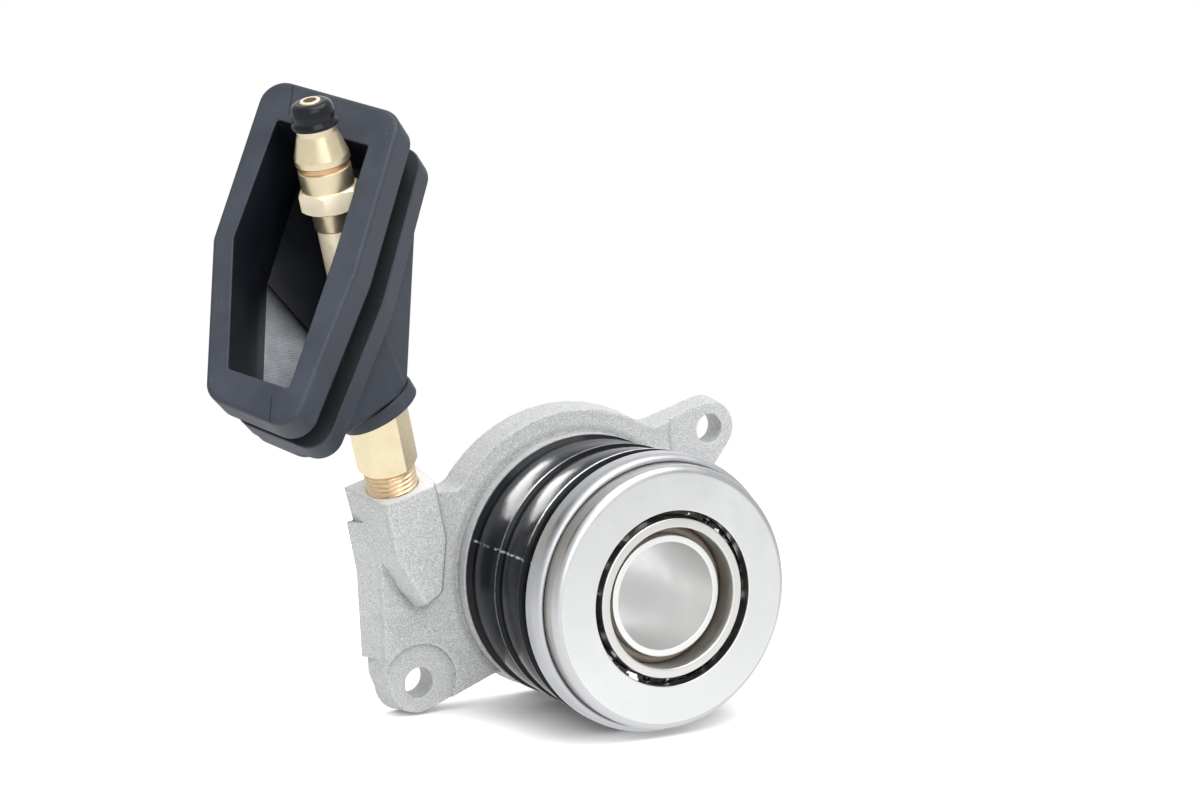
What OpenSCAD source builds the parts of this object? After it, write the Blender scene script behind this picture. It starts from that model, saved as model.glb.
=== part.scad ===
// Concentric slave cylinder: a hydraulic clutch actuator that slides round the gearbox input shaft.
// Origin: centre of the guide tube on the mounting face. The bearing looks along -Y, +Z is up.
// The part lies on its round housing, its bearing shell and its lower lug.

/* [Piston and barrel] */
// Travel of the piston, from rest to pushed fully in
stroke = 14; // [8:0.5:18]
// Radial width of the pressure chamber
chamber_w = 6.4; // [5:0.1:8]
// Wall of the barrel round the chamber
barrel_wall = 4.5; // [3:0.1:6]
// Thickness of the wall behind the chamber
back_wall = 4.4; // [3.8:0.1:6]
// Length of the rubber piston seal
seal_len = 4.4; // [3:0.1:6]
// Length of the piston land that runs in the barrel
land_len = 4.6; // [4:0.1:8]
// Thickness of the snap ring that stops the piston
stop_t = 1.2; // [0.8:0.1:2]
// Thickness of the piston flange that carries the bearing
piston_flange_t = 2.3; // [1.5:0.1:4]

/* [Guide tube] */
// Bore of the guide tube
tube_bore_d = 28.5; // [26:0.1:31]
// Wall of the guide tube
tube_wall = 1.85; // [1:0.05:2.4]
// Distance from the release face back to the front end of the tube
tube_recess = 3.8; // [1:0.1:6]
// Thickness of the tube flange at the mounting face
tube_flange_t = 1.2; // [0.8:0.1:1.4]
// Section of the sealing ring behind the tube flange
o_ring_d = 1.8; // [1.4:0.1:2]

/* [Release bearing] */
// Ball diameter
ball_d = 6.35; // [5.5:0.05:7]
// Number of balls
ball_count = 18; // [12:1:18]
// Gap between the guide tube and the inner ring
ring_gap = 2.5; // [2:0.1:4]
// Wall of the inner ring at its front edge
inner_ring_w = 2.55; // [1.8:0.05:3]
// Open gap between the inner ring and the contact ring
race_gap = 2; // [1.6:0.1:3]
// Thickness of the contact plate over the balls
plate_t = 3.95; // [3:0.05:5]
// Width of the flat release face
face_w = 9.4; // [8:0.1:10]
// Rounding of the release face's rim
face_edge_r = 2.35; // [1.5:0.05:3]
// Sheet thickness of the bearing shell
shell_t = 1.2; // [0.8:0.1:1.6]

/* [Bellows and spring] */
// Wall of the rubber bellows
bellows_wall = 1.3; // [0.8:0.1:1.8]
// Height of each bellows ridge over its valleys
ridge_h = 1.1; // [0.6:0.1:1.4]
// Wire diameter of the preload spring
spring_wire_d = 2.2; // [1.6:0.1:2.6]
// Turns of the preload spring
spring_turns = 6.5; // [5:0.5:8]

/* [Housing] */
// Thickness of the mounting flange
flange_t = 8.8; // [7.6:0.1:12]
// How far the flange stands out past the round body at the top
flange_rim = 6.7; // [4:0.1:9]
// Growth of the flange radius from its front to its mounting face
flange_taper = 1.1; // [0.4:0.1:2]
// Height of the collar that carries the bellows
collar_h = 4.2; // [3:0.1:6]
// Diameter of the circle that the lug holes lie on
lug_circle_d = 111.2; // [108:0.2:120]
// Angle of the lower lug
lug_low_ang = 204.5; // [202:0.5:206]
// Angle of the upper lug
lug_high_ang = 31.5; // [29:0.5:34]
// Diameter of the lug holes
lug_hole_d = 8.4; // [6.4:0.1:9]
// Pad radius round the lower lug hole
lug_low_r = 8.1; // [7:0.1:10]
// Pad radius round the upper lug hole
lug_high_r = 7.6; // [7:0.1:10]
// Depth of the step round the upper lug
lug_high_step = 1.7; // [0.5:0.1:3]
// Depth of the step round the lower lug
lug_low_step = 0.7; // [0.3:0.1:2]
// Height of the port boss from the mounting face to its front
boss_h = 17.5; // [16.2:0.1:22]

/* [Feed pipe] */
// Distance of the port to the left of the bore axis
port_x = 52.6; // [51:0.1:56]
// Height of the port mouth above the bore axis
port_y = 32.2; // [30:0.1:36]
// Distance of the port mouth in front of the mounting face
port_h = 9; // [8.9:0.1:9.6]
// Lean of the pipe to the left
lean_left = 11.2; // [8:0.1:14]
// Lean of the pipe to the front
lean_front = 11.6; // [9:0.1:14]
// Outside diameter of the union thread
thread_d = 13.8; // [12:0.1:14.2]
// Thread length inside the boss
thread_in = 6; // [4:0.5:6.5]
// Depth of the port below its mouth, with the core hole under the thread
port_depth = 14; // [10:0.5:16]
// Thread length left open above the boss
thread_out = 6; // [3:0.5:9]
// Width across flats of both hexagons
hex_af = 14; // [13.9:0.1:17]
// Height of the union hexagon
union_hex_h = 20.5; // [18:0.5:24]
// Outside diameter of the feed tube
pipe_d = 10.2; // [8.5:0.1:10.6]
// Open length of the feed tube
pipe_len = 48.8; // [46:0.1:54]
// Bore for the fluid in the pipe and the fittings
fluid_d = 3.4; // [2.4:0.1:3.8]

/* [End fitting] */
// Diameter of the stub that takes the feed tube
stub_d = 11; // [10.6:0.1:13]
// Length of that stub
stub_len = 5.4; // [4:0.1:8]
// Height of the fitting hexagon
end_hex_h = 5.3; // [4:0.1:8]
// Diameter of the smooth neck above the hexagon
neck_d = 13.4; // [12.8:0.1:13.8]
// Length of the smooth neck
neck_len = 5.3; // [4:0.1:7]
// Width of the locking groove
lock_w = 1.4; // [1:0.1:2.2]
// Depth of the locking groove
lock_depth = 0.55; // [0.3:0.05:1]
// Length of the nose cone
cone_len = 7.9; // [6:0.1:10]
// Diameter of the nose behind the rubber seal
nose_d = 10.1; // [9:0.1:11]
// Length of that nose
nose_len = 1.6; // [1:0.1:4]
// Length of the rubber nose seal
nose_seal_len = 6.3; // [5:0.1:8]
// Diameter of the metal tip in the nose seal
tip_d = 5.2; // [4.4:0.1:6]

/* [Window grommet] */
// Point of the pipe, from the port mouth, at which the grommet's front plane lies
boot_at = 91.3; // [89:0.1:94]
// Lean of the neck bead to the left
boot_neck_lean = 26; // [22:0.5:30]
// Offset of the neck bead from the pipe, to the right
boot_neck_off = 1.1; // [0:0.1:1.3]
// Height of the grommet frame
boot_len = 84.5; // [80:0.5:92]
// Width of the upper edge of the frame
boot_top_w = 40; // [38:0.1:46]
// Width of the lower edge of the frame
boot_low_w = 25.7; // [24:0.1:32]
// Width of the frame at its knees
boot_knee_w = 40.3; // [39:0.1:46]
// Width of the frame's side bars
boot_side = 8.2; // [6:0.1:9]
// Width of the frame's end bars
boot_end = 9.5; // [8:0.1:11]
// Thickness of the front rim
boot_rim_t = 10; // [7:0.1:11]
// Width of the groove for the sheet metal
boot_groove_t = 7.6; // [6:0.1:9]
// Depth of that groove
boot_groove_d = 3.4; // [2:0.1:4]
// Thickness of the rear flange
boot_rear_t = 8; // [6:0.1:9]
// Reach of the rear flange past the rim on the right
boot_flange_out = 2.1; // [0:0.1:3]
// Wall of the funnel
boot_wall = 3; // [2:0.1:4]
// Outside diameter of the bead at the neck
boot_bead_d = 21.8; // [20:0.1:24]
// Height of that bead
boot_bead_h = 4.2; // [3:0.1:5]

/* [Hidden] */
$fn = 96;

// Clearances
slide_gap = 0.1;
seat_gap = 0.2;
run_gap = 0.35;
end_gap = 0.6;
spring_gap = 0.8;

// Radii, from the guide tube outwards
tube_r = tube_bore_d / 2;
tube_or = tube_r + tube_wall;
tube_flange_r = tube_or + 5;
piston_ir = tube_or + slide_gap;
barrel_ir = tube_or + chamber_w;
barrel_or = barrel_ir + barrel_wall;
land_r = barrel_ir - slide_gap;
stem_r = barrel_ir - 1.5;
spring_r = barrel_or + spring_gap + spring_wire_d / 2;
inner_ir = tube_or + ring_gap;
inner_or = inner_ir + inner_ring_w;
contact_ir = inner_or + race_gap;
race_r = ball_d / 2 + 0.075;
pitch_r = contact_ir + race_r + 0.55;
flat_r = contact_ir + face_w;
cup_ir = pitch_r + race_r + run_gap;
band_r = max(flat_r + face_edge_r, cup_ir + 2.5);
nose_r = inner_ir - 0.25;
seat_or = spring_r + spring_wire_d / 2 + 3.2;
bead_ir = seat_or - 1.5;
piston_flange_r = bead_ir - 0.3;
shell_r = max(band_r + 2.25, seat_or + bellows_wall + ridge_h + 1);

// Stations along the axis, from the mounting face
seal_rear = back_wall + end_gap + stroke;
land_rear = seal_rear + seal_len;
land_front = land_rear + land_len;
stop_rear = land_front + seat_gap;
barrel_front = stop_rear + stop_t + 1.1;
seat_t = 1.2;
flange_rear = barrel_front + stroke + 0.9;
seat_rear = flange_rear - seat_t;
shell_rear = flange_rear + piston_flange_t;
ring_rear = shell_rear + shell_t;
ball_h = ring_rear + 1.15 + race_r;
face_h = ball_h + race_r + plate_t;
tube_front = face_h - tube_recess;
collar_front = flange_t + collar_h;

// Housing
taper_k = (shell_r + flange_rim) / (shell_r + flange_rim - flange_taper);
flange_r = (shell_r + flange_rim) / taper_k;
rim_r = shell_r / taper_k;
collar_r = shell_r - 0.5;
collar_w = 3.2;
lug_low = lug_circle_d / 2 * [cos(lug_low_ang), sin(lug_low_ang)];
lug_high = lug_circle_d / 2 * [cos(lug_high_ang), sin(lug_high_ang)];
lug_low_step_r = lug_low_r + 2.7;
lug_high_step_r = lug_high_r + 6.9;
plate_left = port_x + 5.6;
pad_proud = 3.5;
// The part rolls about its axis until the lower lug is level with the round body
lie_roll = 180 + asin((rim_r - lug_low_r) / (lug_circle_d / 2)) - lug_low_ang;

// Port and pipe
pipe_dir = [-sin(lean_left) * cos(lean_front), cos(lean_left) * cos(lean_front), sin(lean_front)];
port = [-port_x, port_y, port_h];
union_top = thread_out + union_hex_h;
pipe_top = union_top + pipe_len;
socket = 3;
spigot_d = pipe_d - 2;
hex_top = pipe_top + stub_len + end_hex_h;
neck_top = hex_top + neck_len;
lock_top = neck_top + lock_w;
cone_top = lock_top + cone_len;
nose_top = cone_top + nose_len;
tip_top = nose_top + nose_seal_len + 0.4;
union_hex_turn = 40;
end_hex_turn = 53;

// Window grommet
boot_turn = [-15.8, -51.5, -25.5];
boot_shift = [-0.5, -24.4];
boot_half = boot_len / 2;
boot_depth = boot_rim_t + boot_groove_t + boot_rear_t;
boot_right = 14.3;
boot_low_right = 23.2;
boot_knee_x = boot_knee_w / 2 + 0.7;
boot_rim = [
    [boot_right - boot_top_w, boot_half + 2],
    [boot_right, boot_half + 1.2],
    [boot_knee_x, 0.9],
    [boot_low_right, -boot_half - 0.4],
    [boot_low_right - boot_low_w, -boot_half + 1.6],
    [boot_knee_x - boot_knee_w, -1.7]
];
boot_open = [
    boot_rim[0] + [1.01 * boot_side, -1.15 * boot_end],
    boot_rim[1] + [-0.62 * boot_side, -1.12 * boot_end],
    boot_rim[2] + [-0.88 * boot_side, 0],
    boot_rim[3] + [-0.71 * boot_side, 1.04 * boot_end],
    boot_rim[4] + [0.32 * boot_side, 0.87 * boot_end],
    boot_rim[5] + [0.65 * boot_side, 1.7]
];
// Outlines of the rear flange and of the funnel behind it
boot_out = [boot_flange_out, 0];
boot_in = [-3.2, 0];
boot_flange = boot_rim + [[0, 0], boot_out - [0.7, 0.6], boot_out, boot_out, [0, 0], [0, 0]];
boot_back = boot_rim + [[0, 0], boot_in, boot_in, boot_in, [0, 0], [0, 0]];
boot_neck_r = boot_bead_d / 2 - 0.7;
arc_steps = 7;
// The neck leans away from the pipe, and its skirt hangs over the top of the union hexagon
neck_dir = [-sin(boot_neck_lean), cos(boot_neck_lean), 0];
skirt_r = hex_af / sqrt(3) + 0.27;
skirt_top = union_top + 0.3;
neck_at = skirt_top - 5.2;
neck_mid = port + neck_at * pipe_dir + boot_neck_off * [cos(boot_neck_lean), sin(boot_neck_lean), 0];

// Sketch frame: x across, y up, z along the axis towards the bearing
module lie() {
    rotate([0, -lie_roll, 0])
        rotate([90, 0, 0])
            children();
}

// Frame of the feed pipe: z along the pipe from the port mouth
module on_pipe(t = 0) {
    translate(port)
        rotate([0, 0, lean_left])
            rotate([lean_front - 90, 0, 0])
                translate([0, 0, t])
                    children();
}

// Ring about the axis
module ring(r_in, r_out, low, high) {
    translate([0, 0, low])
        difference() {
            cylinder(r = r_out, h = high - low);
            translate([0, 0, -1])
                cylinder(r = r_in, h = high - low + 2);
        }
}

// Straight drilling between two points
module drilling(a, b, r) {
    v = b - a;
    translate(a)
        rotate([0, acos(v[2] / norm(v)), atan2(v[1], v[0])])
            cylinder(r = r, h = norm(v));
}

// Outline of the flange at its front face
module flange_outline() {
    offset(r = -5, $fn = 48)
        offset(r = 5, $fn = 48)
            union() {
                circle(r = rim_r);
                intersection() {
                    circle(r = flange_r);
                    translate([-60, 14])
                        square([120, 60]);
                }
                translate(lug_low)
                    circle(r = lug_low_r);
                translate(lug_high)
                    circle(r = lug_high_r);
                polygon([
                    [-plate_left - 1.8, port_y - 2],
                    [-plate_left, 10.7],
                    [-plate_left - 1.2, -10],
                    lug_low + [-lug_low_r - 1.3, 4],
                    lug_low + [-lug_low_r, 0],
                    lug_low + lug_low_r * [sin(13), -cos(13)],
                    rim_r * [cos(223.5), sin(223.5)],
                    [0, 0],
                    [-35, port_y - 5]
                ]);
                polygon([
                    flange_r * [cos(50), sin(50)],
                    lug_high + lug_high_r * [-sin(14), cos(14)],
                    lug_high + lug_high_r * [cos(-42), sin(-42)],
                    rim_r * [cos(8), sin(8)],
                    [0, 0]
                ]);
            }
}

// Rounded slab of the boss
module boss_slab(pts, h, inset = 0) {
    translate([0, 0, h])
        linear_extrude(0.01)
            offset(r = 2 - min(inset, 1.5), $fn = 24)
                offset(delta = -2)
                    translate([-port_x, port_y])
                        polygon(pts);
}

// Port boss: a wedge that runs down the flange, cut square to the pipe at its top
module boss() {
    front = [[-7.2, 4], [8.5, 4], [10.8, -14.9], [7.9, -29.7], [2, -32.7], [-5.3, -17.1]];
    back = [[-10.6, 4], [9.6, 4], [14.6, -16.5], [10.9, -34.7], [4.2, -37.7], [-6.5, -22.3]];
    difference() {
        hull() {
            boss_slab(back, 0);
            boss_slab(front, boss_h - 1.2);
            boss_slab(front, boss_h - 0.01, 1);
        }
        on_pipe()
            translate([-40, -40, 0])
                cube([80, 80, 40]);
    }
}

// Pad on the left wall between two notches, faded out towards the front
module wall_pad() {
    edge = [[-plate_left - 1.3, 23.1], [-plate_left, 9], [-plate_left - 1.2, -14.8]];
    for (i = [0, 1]) {
        v = edge[i + 1] - edge[i];
        translate(edge[i])
            rotate([90, 0, atan2(v[1], v[0]) + 90])
                linear_extrude(norm(v))
                    polygon([[-pad_proud, 0], [6, 0], [6, flange_t - 1], [0, flange_t - 1]]);
    }
}

module housing() {
    color("silver")
        lie()
            difference() {
                union() {
                    translate([0, 0, flange_t])
                        mirror([0, 0, 1])
                            linear_extrude(flange_t, scale = taper_k)
                                flange_outline();
                    boss();
                    wall_pad();
                    ring(collar_r - collar_w, collar_r, flange_t - 1, collar_front);
                    cylinder(r = barrel_or, h = barrel_front);
                }
                // pressure chamber, with the groove of the stop ring and a lead-in
                translate([0, 0, back_wall])
                    cylinder(r = barrel_ir, h = barrel_front);
                ring(barrel_ir - 1, barrel_ir + 1.3, stop_rear - 0.05, stop_rear + stop_t + 0.05);
                // seats of the guide tube and of its sealing ring
                translate([0, 0, -1])
                    cylinder(r = tube_or + 0.02, h = back_wall + 2);
                translate([0, 0, -1])
                    cylinder(r = tube_flange_r + 0.1, h = tube_flange_t + 1);
                ring(tube_or - 1, tube_or + 1.35 * o_ring_d, 0, tube_flange_t + 1.1 * o_ring_d);
                // lug holes and the steps round them
                for (c = [lug_low, lug_high])
                    translate([c[0], c[1], -1])
                        cylinder(d = lug_hole_d, h = flange_t + 2);
                translate([lug_high[0], lug_high[1], flange_t - lug_high_step])
                    cylinder(r = lug_high_step_r, h = flange_t);
                translate([lug_low[0], lug_low[1], flange_t - lug_low_step])
                    cylinder(r = lug_low_step_r, h = flange_t);
                // threaded port and the drilling from its foot to the chamber
                on_pipe(-thread_in - 0.5)
                    cylinder(d = thread_d + 0.1, h = thread_in + 12);
                on_pipe(-port_depth)
                    cylinder(d = thread_d - 5, h = port_depth);
                drilling(
                    port - (port_depth - 1.5) * pipe_dir,
                    [-barrel_ir + 2, 6.8, back_wall + 1.8],
                    1.6
                );
            }
}

module guide_tube() {
    color("gainsboro")
        lie()
            rotate_extrude()
                polygon([
                    [tube_r, 0],
                    [tube_flange_r, 0],
                    [tube_flange_r, tube_flange_t],
                    [tube_or, tube_flange_t],
                    [tube_or, tube_front - 0.5],
                    [tube_or - 0.5, tube_front],
                    [tube_r + 0.4, tube_front],
                    [tube_r, tube_front - 0.4]
                ]);
}

module tube_o_ring() {
    color("black")
        lie()
            rotate_extrude()
                translate([tube_or + 0.02 + o_ring_d / 2, tube_flange_t + 0.02 + o_ring_d / 2])
                    circle(d = o_ring_d, $fn = 32);
}

module piston() {
    color("dimgray")
        lie()
            rotate_extrude()
                polygon([
                    [piston_ir, land_rear],
                    [land_r, land_rear],
                    [land_r, land_rear + 1],
                    [stem_r, land_rear + 1],
                    [stem_r, land_front - 1],
                    [land_r, land_front - 1],
                    [land_r, land_front],
                    [stem_r, land_front],
                    [stem_r, flange_rear],
                    [piston_flange_r, flange_rear],
                    [piston_flange_r, shell_rear],
                    [nose_r, shell_rear],
                    [nose_r, ball_h],
                    [nose_r - 0.8, ball_h + 0.8],
                    [piston_ir + 0.4, ball_h + 0.8],
                    [piston_ir, ball_h + 0.4]
                ]);
}

module piston_seal() {
    mid_r = (piston_ir + land_r) / 2;
    color("black")
        lie()
            rotate_extrude()
                polygon([
                    [piston_ir, seal_rear],
                    [piston_ir + 0.7, seal_rear],
                    [mid_r, seal_rear + seal_len / 2],
                    [land_r - 0.7, seal_rear],
                    [land_r, seal_rear],
                    [land_r, land_rear],
                    [piston_ir, land_rear]
                ]);
}

module piston_guide_ring() {
    color("saddlebrown")
        lie()
            ring(stem_r + 0.02, land_r + 0.03, land_rear + 1.02, land_front - 1.02);
}

module stop_ring() {
    color("slategray")
        lie()
            difference() {
                ring(stem_r + 0.3, barrel_ir + 1.25, stop_rear, stop_rear + stop_t);
                translate([-3, 0, stop_rear - 1])
                    cube([6, 2 * barrel_ir, stop_t + 2]);
            }
}

// Height of the spring wire above its lower seat, u turns along the coil
function spring_rise(u, len) =
    let (dead = 1, lift = 1.03 * spring_wire_d)
    let (step = (len - spring_wire_d - 2 * dead * lift) / (spring_turns - 2 * dead))
    u < dead ? u * lift
    : u > spring_turns - dead ? len - spring_wire_d - (spring_turns - u) * lift
    : dead * lift + (u - dead) * step;

module preload_spring() {
    low = flange_t + 0.05;
    len = seat_rear - 0.05 - low;
    sides = 8;
    steps = 24 * spring_turns;
    pts = [
        for (i = [0:steps], k = [0:sides - 1])
            let (a = 360 * i / 24, b = 360 * k / sides)
            let (r = spring_r + spring_wire_d / 2 * cos(b))
            [
                r * cos(a),
                r * sin(a),
                low + spring_wire_d / 2 * (1 + sin(b)) + spring_rise(i / 24, len)
            ]
    ];
    walls = [
        for (i = [0:steps - 1], k = [0:sides - 1])
            let (n = (k + 1) % sides)
            [i * sides + k, (i + 1) * sides + k, (i + 1) * sides + n, i * sides + n]
    ];
    ends = [
        [for (k = [0:sides - 1]) k],
        [for (k = [sides - 1:-1:0]) steps * sides + k]
    ];
    color("darkgray")
        lie()
            polyhedron(pts, concat(walls, ends));
}

module spring_seat() {
    color("gray")
        lie()
            rotate_extrude()
                polygon([
                    [barrel_or + 0.4, seat_rear],
                    [seat_or - 1.2, seat_rear],
                    [seat_or - 1.2, seat_rear - 1.4],
                    [seat_or, seat_rear - 1.4],
                    [seat_or, flange_rear],
                    [barrel_or + 0.4, flange_rear]
                ]);
}

// Radius of the bellows' outer skin at a share f of one lobe
function lobe(r0, r1, f) = r0 + (r1 - r0) * f + 0.8 * sin(180 * f);

module dust_bellows() {
    crest = shell_r - 0.2;
    valley = crest - ridge_h;
    low = collar_front;
    high = shell_rear - seat_gap;
    mid = low + 0.49 * (high - low);
    top = high - 3.6;
    lobes = [
        [crest - 0.5, low + 0.1],
        [crest - 0.4, low + 1],
        for (f = [0:0.125:1]) [lobe(valley - 0.4, valley - 0.5, f), low + 1.6 + f * (mid - low - 2.2)],
        [crest - 0.6, mid - 0.1],
        [crest - 0.6, mid + 0.5],
        for (f = [0:0.125:1]) [lobe(valley - 0.6, valley, f), mid + 1 + f * (top - mid - 1.7)],
        [crest, top - 0.2],
        [crest, top + 0.5],
        [valley - 0.3, top + 1.2]
    ];
    n = len(lobes);
    inside = [for (i = [n - 1:-1:1]) lobes[i] - [bellows_wall, 0]];
    foot_r = collar_r - collar_w - 0.1;
    color("black")
        lie()
            rotate_extrude()
                polygon(concat(
                    lobes,
                    [
                        [valley, high - 1.6],
                        [valley, high],
                        [bead_ir, high],
                        [bead_ir, flange_rear + seat_gap],
                        [valley - 0.3 - bellows_wall, flange_rear + seat_gap]
                    ],
                    inside,
                    [
                        [foot_r - 1.2, low + 1],
                        [foot_r - 1.2, flange_t + 0.8],
                        [foot_r, flange_t + 0.8],
                        [foot_r, low + 0.1]
                    ]
                ));
}

module bearing_shell() {
    knee = ring_rear + 2.4;
    lip = ball_h + 0.2;
    lip_r = band_r + run_gap;
    nose_w = 0.4;
    roll = shell_r - lip_r - nose_w;
    color("darkgray")
        lie()
            rotate_extrude()
                polygon(concat(
                    [[nose_r + 0.1, shell_rear]],
                    [for (a = [0:22.5:90]) [shell_r - 1.2 + 1.2 * sin(a), shell_rear + 1.2 - 1.2 * cos(a)]],
                    [for (a = [0:15:90]) [lip_r + nose_w + roll * cos(a), knee + (lip - knee) * sin(a)]],
                    [for (a = [90:-15:0])
                        [lip_r + (shell_r - shell_t - lip_r) * cos(a), knee + (lip - knee - 0.9) * sin(a)]],
                    [
                        [shell_r - shell_t, ring_rear],
                        [nose_r + 0.1, ring_rear]
                    ]
                ));
}

module inner_ring() {
    front = face_h - 0.4;
    color("whitesmoke")
        lie()
            rotate_extrude()
                difference() {
                    polygon([
                        [inner_ir, ring_rear],
                        [pitch_r + 0.6, ring_rear],
                        [pitch_r + 0.6, ball_h - race_r + 0.05],
                        [inner_or, ball_h + 1.3],
                        [inner_or, front - 0.4],
                        [inner_or - 0.4, front],
                        [inner_ir + 0.5, front],
                        [inner_ir, front - 0.5]
                    ]);
                    translate([pitch_r, ball_h])
                        circle(r = race_r);
                }
}

module contact_ring() {
    rear = face_h - plate_t + 0.45;
    color("lightgray")
        lie()
            rotate_extrude()
                difference() {
                    polygon(concat(
                        [
                            [contact_ir, face_h - 0.3],
                            [contact_ir + 0.3, face_h]
                        ],
                        [for (a = [90:-15:0])
                            [band_r - face_edge_r * (1 - cos(a)), face_h - face_edge_r * (1 - sin(a))]],
                        [
                            [band_r, ring_rear + 1.5],
                            [cup_ir, ring_rear + 1.5],
                            [cup_ir, ball_h],
                            [contact_ir + 2, rear],
                            [contact_ir, rear]
                        ]
                    ));
                    translate([pitch_r, ball_h])
                        circle(r = race_r);
                }
}

module bearing_balls() {
    color("white")
        lie()
            for (i = [0:ball_count - 1])
                rotate([0, 0, 360 / ball_count * i])
                    translate([pitch_r, 0, ball_h])
                        sphere(d = ball_d);
}

module ball_cage() {
    half = 0.41 * ball_d;
    front = ball_h + half;
    color("black")
        lie()
            difference() {
                rotate_extrude()
                    polygon([
                        [pitch_r - half / 2, ball_h - half],
                        [pitch_r + half / 2, ball_h - half],
                        [pitch_r + half / 2, front],
                        [inner_or + 0.5, front],
                        [inner_or + 0.5, front - 0.9],
                        [pitch_r - half / 2, front - 0.9]
                    ]);
                for (i = [0:ball_count - 1])
                    rotate([0, 0, 360 / ball_count * i])
                        translate([pitch_r, 0, ball_h])
                            sphere(d = ball_d + 0.4);
                for (i = [0:2:ball_count - 1])
                    rotate([0, 0, 360 / ball_count * (i + 0.5)])
                        translate([inner_or, -1.2, front - 2])
                            cube([1.6, 2.4, 4]);
            }
}

// Hexagon with both ends chamfered to a circle just inside its flats
module hexagon(low, high, turn) {
    r = hex_af / sqrt(3);
    end_r = hex_af / 2 - 0.15;
    rise = 0.55 * (r - end_r);
    intersection() {
        translate([0, 0, low])
            rotate([0, 0, turn])
                cylinder(r = r, h = high - low, $fn = 6);
        rotate_extrude()
            polygon([
                [0, low],
                [end_r, low],
                [r + 0.1, low + rise + 0.055],
                [r + 0.1, high - rise - 0.055],
                [end_r, high],
                [0, high]
            ]);
    }
}

module hex_union() {
    color("darkkhaki")
        lie()
            on_pipe()
                difference() {
                    union() {
                        translate([0, 0, -thread_in])
                            cylinder(d = thread_d, h = thread_in + thread_out);
                        hexagon(thread_out, union_top, union_hex_turn);
                    }
                    translate([0, 0, -thread_in - 1])
                        cylinder(d = fluid_d, h = thread_in + union_top + 2);
                    translate([0, 0, union_top - socket])
                        cylinder(d = spigot_d + 0.04, h = socket + 1);
                }
}

module feed_tube() {
    color("khaki")
        lie()
            on_pipe()
                rotate_extrude()
                    polygon([
                        [fluid_d / 2, union_top - socket],
                        [spigot_d / 2, union_top - socket],
                        [spigot_d / 2, union_top],
                        [pipe_d / 2, union_top],
                        [pipe_d / 2, pipe_top],
                        [spigot_d / 2, pipe_top],
                        [spigot_d / 2, pipe_top + socket],
                        [fluid_d / 2, pipe_top + socket]
                    ]);
}

module end_fitting() {
    hex_low = pipe_top + stub_len;
    cone_r = neck_d / 2 + 0.25;
    color("darkkhaki")
        lie()
            on_pipe()
                difference() {
                    union() {
                        hexagon(hex_low, hex_top, end_hex_turn);
                        rotate_extrude()
                            polygon([
                                [0, pipe_top],
                                [stub_d / 2 - 0.3, pipe_top],
                                [stub_d / 2, pipe_top + 0.3],
                                [stub_d / 2, hex_low + 1],
                                [neck_d / 2, hex_low + 1],
                                [neck_d / 2, neck_top],
                                [neck_d / 2 - lock_depth, neck_top],
                                [neck_d / 2 - lock_depth, lock_top],
                                [cone_r - 0.4, lock_top],
                                [cone_r, lock_top + 0.7],
                                [cone_r, lock_top + 1.8],
                                [nose_d / 2, cone_top],
                                [nose_d / 2, nose_top],
                                [tip_d / 2, nose_top],
                                [tip_d / 2, tip_top],
                                [0, tip_top]
                            ]);
                    }
                    translate([0, 0, pipe_top - 1])
                        cylinder(d = fluid_d, h = tip_top - pipe_top + 2);
                    translate([0, 0, pipe_top - 1])
                        cylinder(d = spigot_d + 0.04, h = socket + 1);
                }
}

module nose_seal() {
    waist = nose_d / 2 + 0.15;
    top = nose_top + nose_seal_len;
    bulge = nose_top + 0.6 * nose_seal_len;
    color("black")
        lie()
            on_pipe()
                rotate_extrude()
                    polygon(concat(
                        [
                            [tip_d / 2 + 0.02, nose_top],
                            [waist + 0.65, nose_top],
                            [waist + 0.65, nose_top + 0.9],
                            [waist, nose_top + 1.7]
                        ],
                        [for (a = [0:15:90]) [waist - 1.6 + 1.85 * cos(a), bulge + (top - bulge) * sin(a)]],
                        [[tip_d / 2 + 0.02, top]]
                    ));
}

// Outward normal of the outline edge from a to b
function edge_out(a, b) =
    let (d = (b - a) / norm(b - a))
    [-d[1], d[0]];

// Normals of the two edges that meet at corner i
function corner_normals(pts, i) = [
    edge_out(pts[(i + 5) % 6], pts[i]),
    edge_out(pts[i], pts[(i + 1) % 6])
];

// Angle through which the outline turns at corner i
function corner_turn(pts, i) =
    let (n = corner_normals(pts, i))
    acos(n[0] * n[1]);

// Angle turned before corner i
function turned(pts, i) = i == 0 ? 0 : turned(pts, i - 1) + corner_turn(pts, i - 1);

// Points of an outline with round corners, moved in by an inset
function boot_outline(pts, round, inset) = [
    for (i = [0:5], j = [0:arc_steps])
        let (n = corner_normals(pts, i))
        let (c = pts[i] - (round + inset) * (n[0] + n[1]) / (1 + n[0] * n[1]))
        let (a = atan2(n[0][1], n[0][0]) - corner_turn(pts, i) * j / arc_steps)
        c + round * [cos(a), sin(a)]
];

function turn_x(v, a) = [v[0], v[1] * cos(a) - v[2] * sin(a), v[1] * sin(a) + v[2] * cos(a)];
function turn_y(v, a) = [v[0] * cos(a) + v[2] * sin(a), v[1], v[2] * cos(a) - v[0] * sin(a)];
function turn_z(v, a) = [v[0] * cos(a) - v[1] * sin(a), v[0] * sin(a) + v[1] * cos(a), v[2]];

// Direction given in the frame of the grommet's front plane
function boot_vec(v) = turn_z(turn_y(turn_x(v, boot_turn[0]), boot_turn[1]), boot_turn[2]);

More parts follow.
